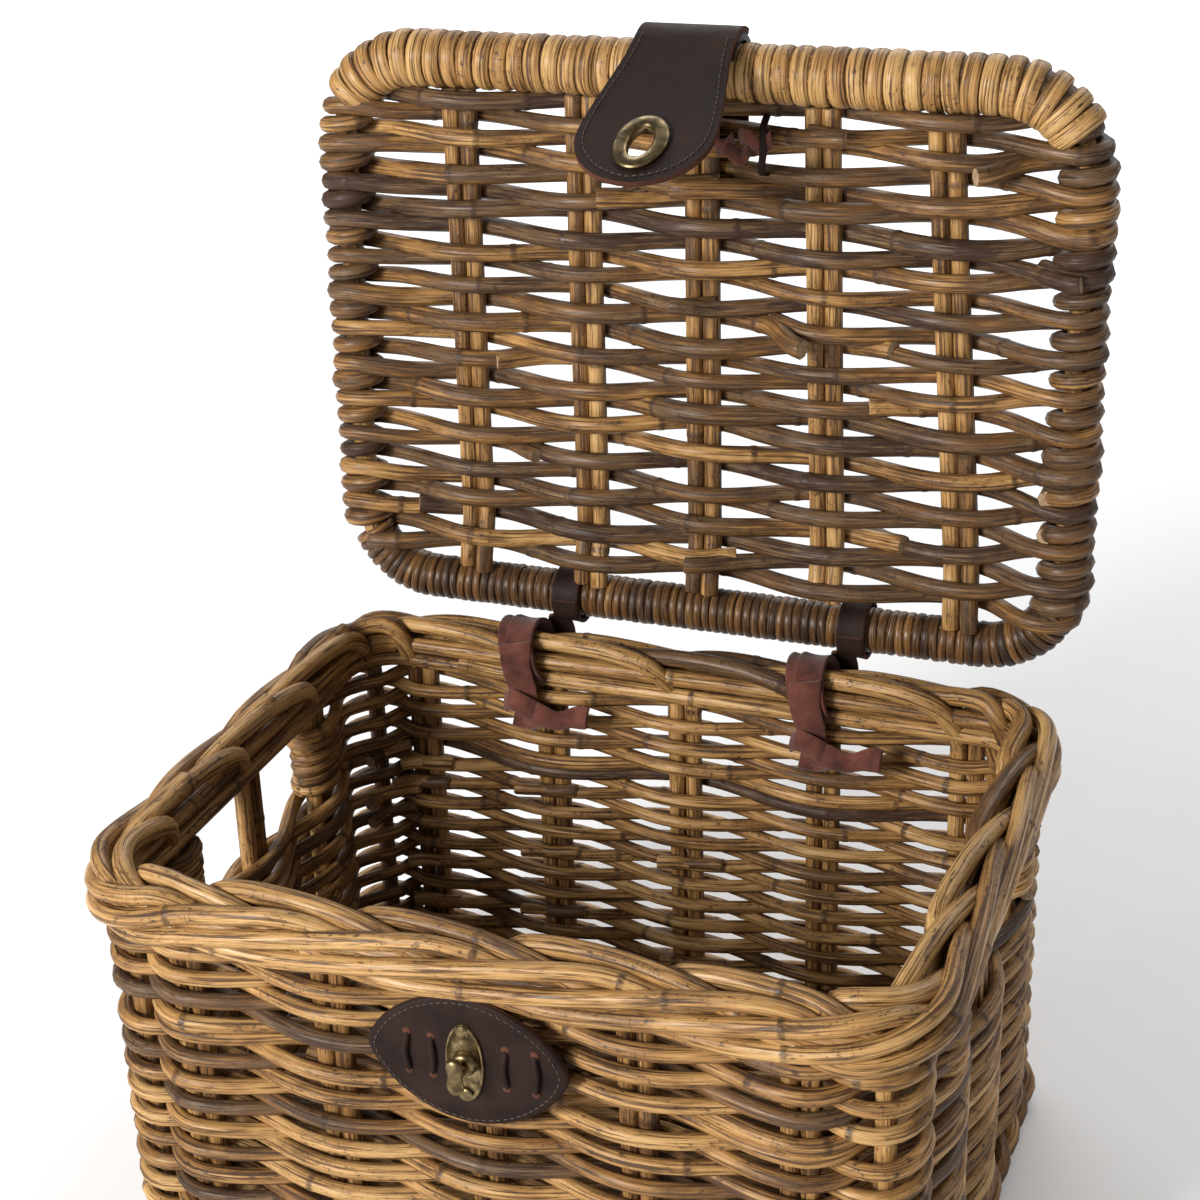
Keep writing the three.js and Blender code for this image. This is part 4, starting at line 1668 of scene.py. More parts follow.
@dataclass
class LidFrame:
    """The lid's four bars: thick wrapped ones at front and rear, thin bare ones at the sides."""

    plane: LidPlane
    finishes: Finishes
    half_x: float = LID_HALF
    front_bend: float = 40 * MM
    rear_bend: float = 38 * MM

    def bar_line(self, climb: float, bend: float, way: int, cover: float) -> Array:
        """The middle line of a bar with both ends bent round a corner.

        Args:
            climb: The bar's height up the lid.
            bend: The radius of the bends.
            way: 1 where the ends turn up the lid and -1 where they turn down.
            cover: The share of each bend that the line takes in.

        Returns:
            The points of the line.
        """
        straight = 2 * (self.half_x - bend)
        arc = math.pi / 2 * bend * cover
        along = np.linspace(-straight / 2 - arc, straight / 2 + arc, 160)
        past = np.maximum(0.0, np.abs(along) - straight / 2) / bend
        x = np.sign(along) * (np.minimum(np.abs(along), straight / 2) + bend * np.sin(past))
        return self.plane.point(x, np.zeros_like(x), climb + way * bend * (1 - np.cos(past)))

    def binding(
        self,
        name: str,
        node: str,
        slot: str,
        line: Array,
        inner: float,
        width: float,
        shades: tuple[float, float],
        seed: int,
        finish: Material,
    ) -> None:
        """Wraps a bar with turns of split cane.

        Args:
            name: The piece's name.
            node: The plain bar that it stands for.
            slot: Not used.
            line: The bar's middle line.
            inner: The bar's radius under the wrapping.
            width: The split cane's width.
            shades: The lightest and darkest turn.
            seed: Seeds its chance.
            finish: The split cane's finish.
        """
        ring = wrap_ring(
            name + "_turn", inner, width * 1.04, 2.1 * MM if width > 7 * MM else 1.5 * MM, 26
        )
        facing = np.broadcast_to(self.plane.toward, line.shape)
        made = AlongLine(name + "_tree", finish).run(
            name, line, facing, ring,
            Spacing=width, Tilt=0.075, Smallest=0.965,
            Lightest=shades[0], Darkest=shades[1], Seed=seed,
        )
        settle(made, "lid", slot, node)

    def build(self) -> None:
        """Builds the four bars."""
        front = self.bar_line(self.plane.length, self.front_bend, -1, 0.62)
        rear = self.bar_line(0.0, self.rear_bend, 1, 0.72)
        light, dark = self.finishes.wrap, self.finishes.dark_wrap
        self.binding(
            "lid_front_binding", "lid_front_bar", "cane_wrap_light", front, 12.2 * MM, 8.6 * MM,
            (0.06, 0.32), 51, light,
        )
        self.binding(
            "lid_rear_binding", "lid_rear_bar", "cane_wrap_dark", rear, 10.2 * MM, 4.3 * MM,
            (0.30, 0.86), 52, dark,
        )
        bundle = CaneBundle(53, sides=12, step=8 * MM)
        for line, radius in ((front, 12.0 * MM), (rear, 10.0 * MM)):
            bundle.lay(line, radius, Shade.BROWN.value, up=self.plane.toward)
        for side in Side:
            upper = np.linspace(0.5, 1.0, 14) * math.pi / 2
            lower = np.linspace(1.0, 0.6, 12) * math.pi / 2
            x = np.concatenate([
                self.half_x - self.rear_bend * (1 - np.sin(lower[::-1])),
                self.half_x - self.front_bend * (1 - np.sin(upper[::-1])),
            ])
            climb = np.concatenate([
                self.rear_bend * (1 - np.cos(lower[::-1])),
                self.plane.length - self.front_bend * (1 - np.cos(upper[::-1])),
            ])
            path = self.plane.point(side.value * x, np.zeros_like(climb), climb)
            bundle.lay(path, 5.5 * MM, Shade.TAN.value, up=self.plane.toward)
        made = bundle.mesh("lid_frame_canes", self.finishes.lid, self.finishes.pith)
        settle(made, "lid", "rattan_lid", "lid_side_bar_left", "lid_side_bar_right")


@dataclass
class LidWeave:
    """The lid's open weave on five pairs of stakes, turned back round the side bars."""

    plane: LidPlane
    finishes: Finishes
    weaver: float = 4.9 * MM
    stake: float = 4.6 * MM
    half_x: float = LID_HALF
    rows: int = 26
    bottom: float = 20 * MM
    top: float = 256 * MM
    foot_x: tuple[float, ...] = (-119.5, -56.0, 4.0, 68.0, 137.0)
    head_x: tuple[float, ...] = (-122.0, -58.0, 2.0, 60.0, 117.0)
    foot_climb: tuple[float, ...] = (9.0, 8.5, 12.0, 15.0, 8.5)

    def tone(self, rng: Chance, climb: float) -> float:
        """Picks a cane's shade, greyer low on the lid.

        Args:
            rng: The source of chance.
            climb: The cane's place up the lid.

        Returns:
            The shade.
        """
        chance = rng.uniform()
        grey = 0.20 + 0.45 * (1 - climb / self.top)
        if chance < grey:
            return float(rng.choice([Shade.DRIFTWOOD.value, Shade.BROWN.value, Shade.BROWN.value]))
        if chance < grey + 0.12:
            return Shade.PLUM.value - 0.04
        return float(
            rng.choice([Shade.HONEY.value, Shade.TAN.value, Shade.TAN.value, Shade.BROWN.value])
        )

    def weave(self) -> None:
        """Weaves the panel."""
        bundle = CaneBundle(61, sides=9, step=5 * MM)
        rng = bundle.rng
        middles = [(a + b) / 2 for a, b in zip(self.foot_x, self.head_x)]
        posts = np.array([-self.half_x, *[m * MM for m in middles], self.half_x])
        reach = np.array([9.0, 8.9, 8.9, 8.9, 8.9, 8.9, 9.0]) * MM
        pitch = (self.top - self.bottom) / (self.rows - 1)
        run = ToAndFro(posts, reach, 9.6 * MM, self.rows, self.bottom, pitch, 2.4 * MM).path(rng)
        for cane in cut_to_lengths(run, rng, 0.32, 0.85, 6.5 * MM):
            share = cane[:, 2] / self.plane.length
            inner = np.clip(1.0 - (np.abs(cane[:, 0]) - 0.125) / 0.05, 0.0, 1.0)
            slide = self.lean_at(cane[:, 0], share) * inner
            slide = slide + self.inset(cane[:, 0], cane[:, 2])
            path = self.plane.point(cane[:, 0] + slide, cane[:, 1], cane[:, 2])
            tone = min(self.tone(rng, float(cane[:, 2].mean())) + 0.07, 0.96)
            bundle.lay(
                self.loose_end(path, rng), self.weaver * rng.uniform(0.84, 1.08), tone,
                up=self.plane.climb, taper=rng.uniform(0.0, 0.15), joints=(0.05, 0.15), drift=0.22,
            )
        made = bundle.mesh("lid_weavers", self.finishes.lid, self.finishes.pith)
        settle(made, "lid", "rattan_lid", "lid_weave")

    def loose_end(self, path: Array, rng: Chance) -> Array:
        """Lets some canes' cut ends stand away from the inner face.

        Args:
            path: The cane's middle line.
            rng: The source of chance.

        Returns:
            The line, bent out over its last part where the end is loose.
        """
        lift = rng.uniform(4.5, 7.5) * MM
        rise = rng.uniform(-5.0, 5.0) * MM
        if rng.uniform() > 0.6 or abs(path[-1, 0]) > 0.145:
            return path
        along = lengths_along(path)
        past = smoothstep((along - along[-1] + 24 * MM) / (24 * MM))
        return path + past[:, None] * (lift * self.plane.toward + rise * self.plane.climb)

    def inset(self, x: Array, climb: Array) -> Array:
        """Returns the way that the turns move inwards where the side bars bend at their ends."""
        bend = 40 * MM
        past = np.maximum(climb - (self.plane.length - bend), bend - 2 * MM - climb)
        share = np.clip(past / bend, 0.0, 0.93)
        drop = bend * (1.0 - np.sqrt(1.0 - share**2))
        near = smoothstep((np.abs(x) - 0.13) / 0.045)
        return -np.sign(x) * drop * near

    def lean_at(self, x: Array, share: Array) -> Array:
        """Finds how far the stakes near a place lean from their own middles.

        Args:
            x: Places along the hinge.
            share: Places up the lid, as shares of its length.

        Returns:
            The distance along x at each place.
        """
        middles = [(a + b) / 2 * MM for a, b in zip(self.foot_x, self.head_x)]
        swing = [(b - a) * MM for a, b in zip(self.foot_x, self.head_x)]
        return np.interp(x, middles, swing) * (share - 0.5)

    def stakes(self) -> None:
        """Stands the five pairs of stakes, whose cut feet show in front of the rear bar."""
        bundle = CaneBundle(63, sides=10, step=8 * MM)
        rng = bundle.rng
        for foot_x, head_x, foot in zip(self.foot_x, self.head_x, self.foot_climb):
            for side in (-1, 1):
                tip = foot * MM + (0 if side > 0 else rng.uniform(0, 5) * MM)
                climb = np.linspace(tip, self.plane.length - 14 * MM, 60)
                share = climb / self.plane.length
                x = (foot_x + (head_x - foot_x) * share) * MM + side * 4.3 * MM
                low = smoothstep(1 - (climb - 14 * MM) / (26 * MM))
                toward = 7.0 * MM * low + wander(rng, climb, 0.07, 0.3 * MM)
                path = self.plane.point(x + wander(rng, climb, 0.08, 0.3 * MM), toward, climb)
                tone = Shade.TAN.value + rng.uniform(-0.2, 0.22)
                bundle.lay(path, self.stake, tone, up=self.plane.toward)
        made = bundle.mesh("lid_stake_pairs", self.finishes.lid, self.finishes.pith)
        settle(made, "lid", "rattan_lid", *[f"lid_stake_{i}" for i in range(1, 6)])

    def build(self) -> None:
        """Builds the panel and its stakes."""
        self.weave()
        self.stakes()


# ---- leather ------------------------------------------------------------------------------


def grid_sheet(
    name: str,
    points: Array,
    thick: float,
    face: Material,
    edge: Material,
    keep: Array | None = None,
) -> Thing:
    """Turns a grid of points on a sheet's outer face into leather with a rounded, raw edge.

    Args:
        name: The object's name.
        points: Rows by columns by 3; the outer face is the one that the rows turn left from.
        thick: The leather's thickness.
        face: The finish of the two faces.
        edge: The finish of the cut edge.
        keep: Rows by columns of the grid's cells that stay, or None for all.

    Returns:
        The closed piece.
    """
    rows, columns = points.shape[:2]
    faces = []
    for i in range(rows - 1):
        for j in range(columns - 1):
            if keep is None or keep[i, j]:
                a = i * columns + j
                faces.append((a, a + 1, a + columns + 1, a + columns))
    data = bpy.data.meshes.new(name)
    data.from_pydata(points.reshape(-1, 3).tolist(), [], faces)
    work = bmesh.new()
    work.from_mesh(data)
    bmesh.ops.delete(work, geom=[v for v in work.verts if not v.link_faces], context="VERTS")
    work.to_mesh(data)
    work.free()
    data.materials.append(face)
    data.materials.append(edge)
    data.polygons.foreach_set("use_smooth", [True] * len(data.polygons))
    made = link(name, data)
    solid = made.modifiers.new("thickness", "SOLIDIFY")
    solid.thickness = thick
    solid.offset = -1.0
    solid.material_offset_rim = 1
    solid.use_even_offset = True
    bevel = made.modifiers.new("edge", "BEVEL")
    bevel.width = thick * 0.28
    bevel.segments = 2
    bevel.limit_method = "ANGLE"
    bevel.angle_limit = math.radians(50)
    graph = bpy.context.evaluated_depsgraph_get()
    plain = bpy.data.meshes.new_from_object(made.evaluated_get(graph), depsgraph=graph)
    bpy.data.objects.remove(made)
    plain.name = name
    return link(name, plain)


def join_pieces(name: str, *pieces: Thing) -> Thing:
    """Joins finished objects into one, keeping each face's finish.

    Args:
        name: The name of the result.
        *pieces: The objects, which are used up.

    Returns:
        The joined object.
    """
    bpy.ops.object.select_all(action="DESELECT")
    for piece in pieces:
        piece.select_set(True)
    bpy.context.view_layer.objects.active = pieces[0]
    bpy.ops.object.join()
    pieces[0].name = name
    pieces[0].data.name = name
    return pieces[0]


@dataclass
class LatchStrap:
    """The leather strap over the front bar, with its stitched edge and brass eyelet."""

    plane: LidPlane
    finishes: Finishes
    centre_x: float = -2 * MM
    inner: float = 18.2 * MM
    thick: float = 3.0 * MM
    neck: float = 24 * MM
    belly: float = 32 * MM
    eyelet: float = 73.5 * MM
    length: float = 99 * MM
    droop: float = math.radians(30)

    def half_width(self, v: Array) -> Array:
        """Finds the strap's half width.

        Args:
            v: Distances from the bar, negative behind its top.

        Returns:
            The half width at each distance.
        """
        waist = self.eyelet - 6 * MM
        grown = self.neck + (self.belly - self.neck) * smoothstep(v / waist)
        past = np.clip((v - waist) / (self.length - waist), 0.0, 1.0)
        return grown * np.sqrt(np.maximum(1.0 - past**2, 0.0))

    def place(self, x: Array, v: Array, rise: float) -> Array:
        """Puts a point of the strap in space.

        Args:
            x: Across, from the strap's middle.
            v: Along, from the bar's top, negative round the back of the bar.
            rise: Above the strap's inner face.

        Returns:
            The point.
        """
        r = self.inner + rise
        back = np.minimum(v, 0.0) / (self.inner + self.thick)
        toward = np.where(v > 0, v, r * np.sin(back))
        height = np.where(v > 0, r, r * np.cos(back))
        sag = 1.6 * MM * np.sin(np.pi * np.clip(v / self.length, 0.0, 1.0)) - 0.6 * MM * (
            x / self.belly
        ) ** 2
        height = height - sag * (v > 0)
        cos, sin = math.cos(self.droop), math.sin(self.droop)
        return self.plane.point(
            self.centre_x + x, toward * cos + height * sin,
            self.plane.length + height * cos - toward * sin,
        )

    def build(self) -> None:
        """Builds the strap, its stitching and its eyelet."""
        v = np.concatenate([np.linspace(-22.0, 0.0, 12)[:-1], np.linspace(0.0, 98.85, 68)]) * MM
        across = np.sin(np.linspace(-1.0, 1.0, 43) * np.pi / 2)
        wide = self.half_width(v)
        grid_x = wide[:, None] * across[None, :]
        grid_v = np.broadcast_to(v[:, None], grid_x.shape)
        points = self.place(grid_x, grid_v, self.thick)
        middle_x = (grid_x[:-1, :-1] + grid_x[1:, 1:]) / 2
        middle_v = (grid_v[:-1, :-1] + grid_v[1:, 1:]) / 2
        hole_x, hole_v = EYELET_HOLE
        keep = (middle_x / hole_x) ** 2 + ((middle_v - self.eyelet) / hole_v) ** 2 > 1.0
        sheet = grid_sheet(
            "latch_strap_leather", points[:, ::-1], self.thick * 0.93, self.finishes.leather,
            self.finishes.edge, keep[:, ::-1],
        )
        seam = self.stitch_line(3.6 * MM)
        stitch = stitch_mark("strap_stitch", 2.7 * MM, 0.75 * MM)
        facing = np.broadcast_to(self.normal(), seam.shape)
        row = AlongLine("strap_stitch_tree", self.finishes.thread).run(
            "latch_strap_stitching", seam, facing, stitch,
            Spacing=3.5 * MM, Tilt=0.05, Smallest=0.9, Seed=5,
        )
        made = join_pieces("latch_strap_leather", sheet, row)
        settle(made, "strap", "leather", "latch_strap")
        self.ring()

    def normal(self) -> Array:
        """Returns the direction that the tongue's outer face looks in."""
        cos, sin = math.cos(self.droop), math.sin(self.droop)
        return self.plane.toward * sin + self.plane.climb * cos

    def stitch_line(self, inset: float) -> Array:
        """Follows the line of stitches.

        Args:
            inset: Its distance from the strap's edge.

        Returns:
            The points of the line.
        """
        v = np.linspace(2 * MM, self.length - inset - 0.02 * MM, 150)
        shrunk = self.length / (self.length - inset)
        wide = np.maximum(self.half_width(v * shrunk) - inset * 0.9, 0.0)
        x = np.concatenate([-wide, wide[::-1]])
        line = np.concatenate([v, v[::-1]])
        points = self.place(x, line, self.thick + 0.05 * MM)
        s = lengths_along(points)
        keep = np.concatenate([[True], np.diff(s) > 0.05 * MM])
        return points[keep]

    def ring(self) -> None:
        """Builds the oval eyelet: two domed flanges and the barrel between them."""
        low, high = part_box("eyelet_ring")
        middle = np.array([(low.x + high.x) / 2, (low.y + high.y) / 2, (low.z + high.z) / 2])
        normal = self.normal()
        down = np.cross(normal, ALONG)
        outline = (
            (10.3, -1.9), (10.8, -2.3), (13.6, -2.5), (16.6, -2.2), (16.9, -1.6), (12.0, -1.5),
            (12.0, 1.5), (17.1, 1.6), (17.2, 2.2), (15.6, 2.8), (13.4, 3.0), (11.4, 2.9), (
                10.3, 2.2
            ),
        )
        sides = 56
        points, faces = [], []
        for i in range(sides):
            turn = i * 2 * math.pi / sides
            for reach, rise in outline:
                x, y = (reach - 4.5) * math.cos(turn), reach * math.sin(turn)
                points.append(middle + MM * (x * ALONG + y * down + rise * normal))
        n = len(outline)
        for i in range(sides):
            for j in range(n):
                a, b = i * n + j, i * n + (j + 1) % n
                c, d = ((i + 1) % sides) * n + (j + 1) % n, ((i + 1) % sides) * n + j
                faces.append((a, b, c, d))
        data = bpy.data.meshes.new("latch_eyelet")
        data.from_pydata([tuple(p) for p in points], [], faces)
        data.polygons.foreach_set("use_smooth", [True] * len(faces))
        outward_faces(data)
        data.materials.append(self.finishes.brass)
        settle(link("latch_eyelet", data), "strap", "aged_brass", "eyelet_ring")


@dataclass
class Bands:
    """The flat leather and suede bands: strap's tail, hinge loops and the ties on the rim."""

    plane: LidPlane
    finishes: Finishes
    tail_below: float = 16 * MM
    tail_length: float = 47 * MM
    tail_width: float = 46 * MM
    loop_radius: float = 14.6 * MM

    def band(
        self,
        name: str,
        line: Array,
        across: Array,
        width: Array | float,
        thick: float,
        face: Material,
        edge: Material,
        crown: float = 0.0,
        columns: int = 9,
    ) -> Thing:
        """Sweeps a flat band along a line.

        Args:
            name: The object's name.
            line: The middle of the band's outer face.
            across: The direction across it, for each point or for all.
            width: Its width, for each point or for all.
            thick: Its thickness.
            face: The finish of its faces.
            edge: The finish of its edges.
            crown: How far its middle stands above its edges.
            columns: Points across it.

        Returns:
            The band.
        """
        t = unit(np.gradient(line, axis=0))
        across = unit(np.broadcast_to(across, line.shape))
        normal = unit(np.cross(t, across))
        share = np.linspace(-0.5, 0.5, columns)
        width = np.broadcast_to(width, len(line))
        grid = line[:, None, :] + (share[None, :] * width[:, None])[..., None] * across[:, None, :]
        grid = grid - (crown * (2 * share) ** 2)[None, :, None] * normal[:, None, :]
        return grid_sheet(name, grid, thick, face, edge)

    def tail(self) -> None:
        """Builds the strap's sewn-down end on the lid's outer face."""
        low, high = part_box("strap_tail")
        top = self.plane.length - self.tail_below
        climb = np.linspace(top, top - self.tail_length, 40)
        fall = np.clip((top - 36 * MM - climb) / (11 * MM), 0.0, 1.0)
        width = self.tail_width * np.sqrt(1 - 0.55 * fall**2)
        middle = (low.x + high.x) / 2
        line = self.plane.point(np.full_like(climb, middle), np.full_like(climb, -14.2 * MM), climb)
        sheet = self.band(
            "strap_tail_leather", line, ALONG, width, LEATHER_THICK, *self.finishes.hide, 0.4 * MM
        )
        settle(sheet, "lid", "leather", "strap_tail")

    def loop_line(
        self, centre: Array, radius: float, start: float, stop: float, count: int
    ) -> Array:
        """An arc in the plane across the hinge.

        Args:
            centre: Its middle.
            radius: Its radius.
            start: Where it starts, in degrees from the front towards the top.
            stop: Where it stops.
            count: How many points it has.

        Returns:
            The points.
        """
        angle = np.radians(np.linspace(start, stop, count))
        step = np.stack([np.zeros(count), -np.cos(angle), np.sin(angle)], axis=1)
        return centre + radius * step

    def hinge(self, side: str) -> None:
        """Builds one hinge: the loop on the rear bar, the tongue to the rim and the suede tie.

        Args:
            side: left or right.
        """
        low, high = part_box(f"hinge_strap_{side}")
        centre = np.array([(low.x + high.x) / 2, self.plane.foot[1], self.plane.foot[2]])
        ring = self.loop_line(centre, self.loop_radius, -50.0, 308.0, 70)
        loop = self.band(
            f"hinge_loop_{side}", ring, ALONG, 14 * MM, 2.0 * MM, *self.finishes.hide, 0.5 * MM
        )
        settle(loop, "lid", "leather", f"hinge_strap_{side}")
        low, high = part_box(f"hinge_tie_{side}")
        tie = np.array([(low.x + high.x) / 2, (low.y + high.y) / 2, (low.z + high.z) / 2])
        rim = np.array([centre[0] * 0.75 + tie[0] * 0.25, tie[1], tie[2]])
        tongue = smooth_path(
            [
                centre + np.array([0, -14.0, 2.0]) * MM, centre + np.array([0, -13.2, -6.0]) * MM,
                rim + np.array([0, 13.0, 14.5]) * MM, rim + np.array([0, 17.0, 6.0]) * MM,
                rim + np.array([0, 17.5, -4.0]) * MM,
            ],
            8,
        )
        strip = self.band(
            f"hinge_tongue_{side}", tongue, ALONG, 13 * MM, 1.8 * MM, *self.finishes.hide
        )
        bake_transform(strip)
        self.tie(side, tie)

    def tie(self, side: str, middle: Array) -> None:
        """Builds one suede tie: two turns round the rim, a knot inside and its loose tail.

        Args:
            side: left or right.
            middle: The middle of the turns.
        """
        lean = 5.0 if side == "left" else 4.0
        first = self.oval(middle, -lean, 15.4, 15.3, -85.0, 262.0)
        second = self.oval(
            middle + np.array([3.0, 0.0, 0.0]) * MM, -0.8 * lean, 17.0, 16.0, -60.0, 210.0
        )
        pieces = []
        for index, line in enumerate((first, second)):
            pieces.append(
                self.band(
                    f"tie_turn_{side}_{index}", line, ALONG, (17.0 - 3 * index) * MM, SUEDE_THICK,
                    *self.finishes.nap, 1.0 * MM,
                )
            )
        inside = middle + np.array([2.0, -18.0, -9.0]) * MM
        fall = path_near(
            inside, [(-2.0, 1.2, 20.0), (-1.0, -1.5, 8.0), (3.0, -2.5, -6.0), (5.0, -2.0, -18.0)]
        )
        width = np.linspace(16.0, 11.0, len(fall)) * MM
        pieces.append(
            self.band(
                f"tie_fall_{side}", fall, np.array([1.0, 0.25, 0.15]), width, SUEDE_THICK,
                *self.finishes.nap, 1.2 * MM,
            )
        )
        knot = path_near(
            inside,
            [
                (-7.0, -1.0, -13.0),
                (-2.0, -6.5, -8.5),
                (6.0, -7.5, -11.0),
                (12.0, -4.0, -17.0),
                (6.0, -1.0, -22.0),
                (-3.0, -3.0, -20.0),
            ],
        )
        pieces.append(
            self.band(
                f"tie_knot_{side}", knot, np.array([0.15, 0.2, 1.0]), 9.5 * MM, SUEDE_THICK,
                *self.finishes.nap, 1.2 * MM,
            )
        )
        loose = path_near(
            inside,
            [
                (4.0, -3.0, -17.0),
                (13.0, -7.0, -15.0),
                (22.0, -6.0, -17.5),
                (31.0, -4.5, -15.0),
                (39.0, -5.5, -14.0),
            ],
        )
        width = 10.0 * MM + 1.4 * MM * np.sin(np.linspace(0, 9, len(loose)))
        pieces.append(
            self.band(
                f"tie_loose_{side}", loose, np.array([0.1, 0.25, 1.0]), width, SUEDE_THICK,
                *self.finishes.nap, 1.0 * MM,
            )
        )
        made = join_pieces(f"suede_tie_{side}", *pieces)
        settle(made, "basket", "suede", f"hinge_tie_{side}")

    def oval(
        self, middle: Array, lean: float, wide: float, tall: float, start: float, stop: float
    ) -> Array:
        """An oval turn round the rim that leans along it.

        Args:
            middle: The rim's middle.
            lean: How far its top stands along x from its foot, in millimetres.
            wide: Half its depth, in millimetres.
            tall: Half its height, in millimetres.
            start: Where it starts, in degrees from the front towards the top.
            stop: Where it stops.

        Returns:
            The points.
        """
        angle = np.radians(np.linspace(start, stop, 60))
        step = np.stack([lean * np.sin(angle), -wide * np.cos(angle), tall * np.sin(angle)], axis=1)
        return middle + step * MM

    def lace(self) -> None:
        """Builds the dark lace and the suede tuft beside the latch strap."""
        low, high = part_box("strap_lace")
        x = (low.x + high.x) / 2
        climb = self.plane.length - 31 * MM
        line = smooth_path(
            [
                (x - 1 * MM, 3 * MM, climb + 12 * MM),
                (x, 12 * MM, climb + 8 * MM),
                (x + 0.5 * MM, 13.5 * MM, climb - 2 * MM),
                (x - 0.5 * MM, 12.5 * MM, climb - 11 * MM),
                (x, 3 * MM, climb - 14 * MM),
            ],
            8,
        )
        points = self.plane.point(line[:, 0], line[:, 1], line[:, 2])
        lace = self.band(
            "lace_cord", points, ALONG, 3.4 * MM, 1.6 * MM, self.finishes.leather,
            self.finishes.leather,
        )
        pieces = [lace]
        for index, (dx, dc, twist) in enumerate(
            ((-30.0, 2.0, 0.6), (-22.0, -3.0, -0.5), (-12.0, 3.0, 0.3))
        ):
            start = (x + dx * MM, 9 * MM, climb + dc * MM)
            line = smooth_path(
                [
                    start, (start[0] + 5 * MM, 14.5 * MM, start[2] + 2 * MM),
                    (start[0] + 11 * MM, 12.5 * MM, start[2] - 3 * MM),
                    (start[0] + 16 * MM, 13 * MM, start[2] + 1.5 * MM),
                ],
                7,
            )
            points = self.plane.point(line[:, 0], line[:, 1], line[:, 2])
            across = self.plane.climb + twist * self.plane.toward
            pieces.append(
                self.band(
                    f"tuft_{index}", points, across, 7.0 * MM, 1.7 * MM, *self.finishes.nap,
                    0.8 * MM,
                )
            )
        made = join_pieces("strap_lacing", *pieces)
        settle(made, "lid", "suede", "strap_lace")

    def build(self) -> None:
        """Builds every band."""
        self.tail()
        self.lace()
        for side in ("left", "right"):
            self.hinge(side)


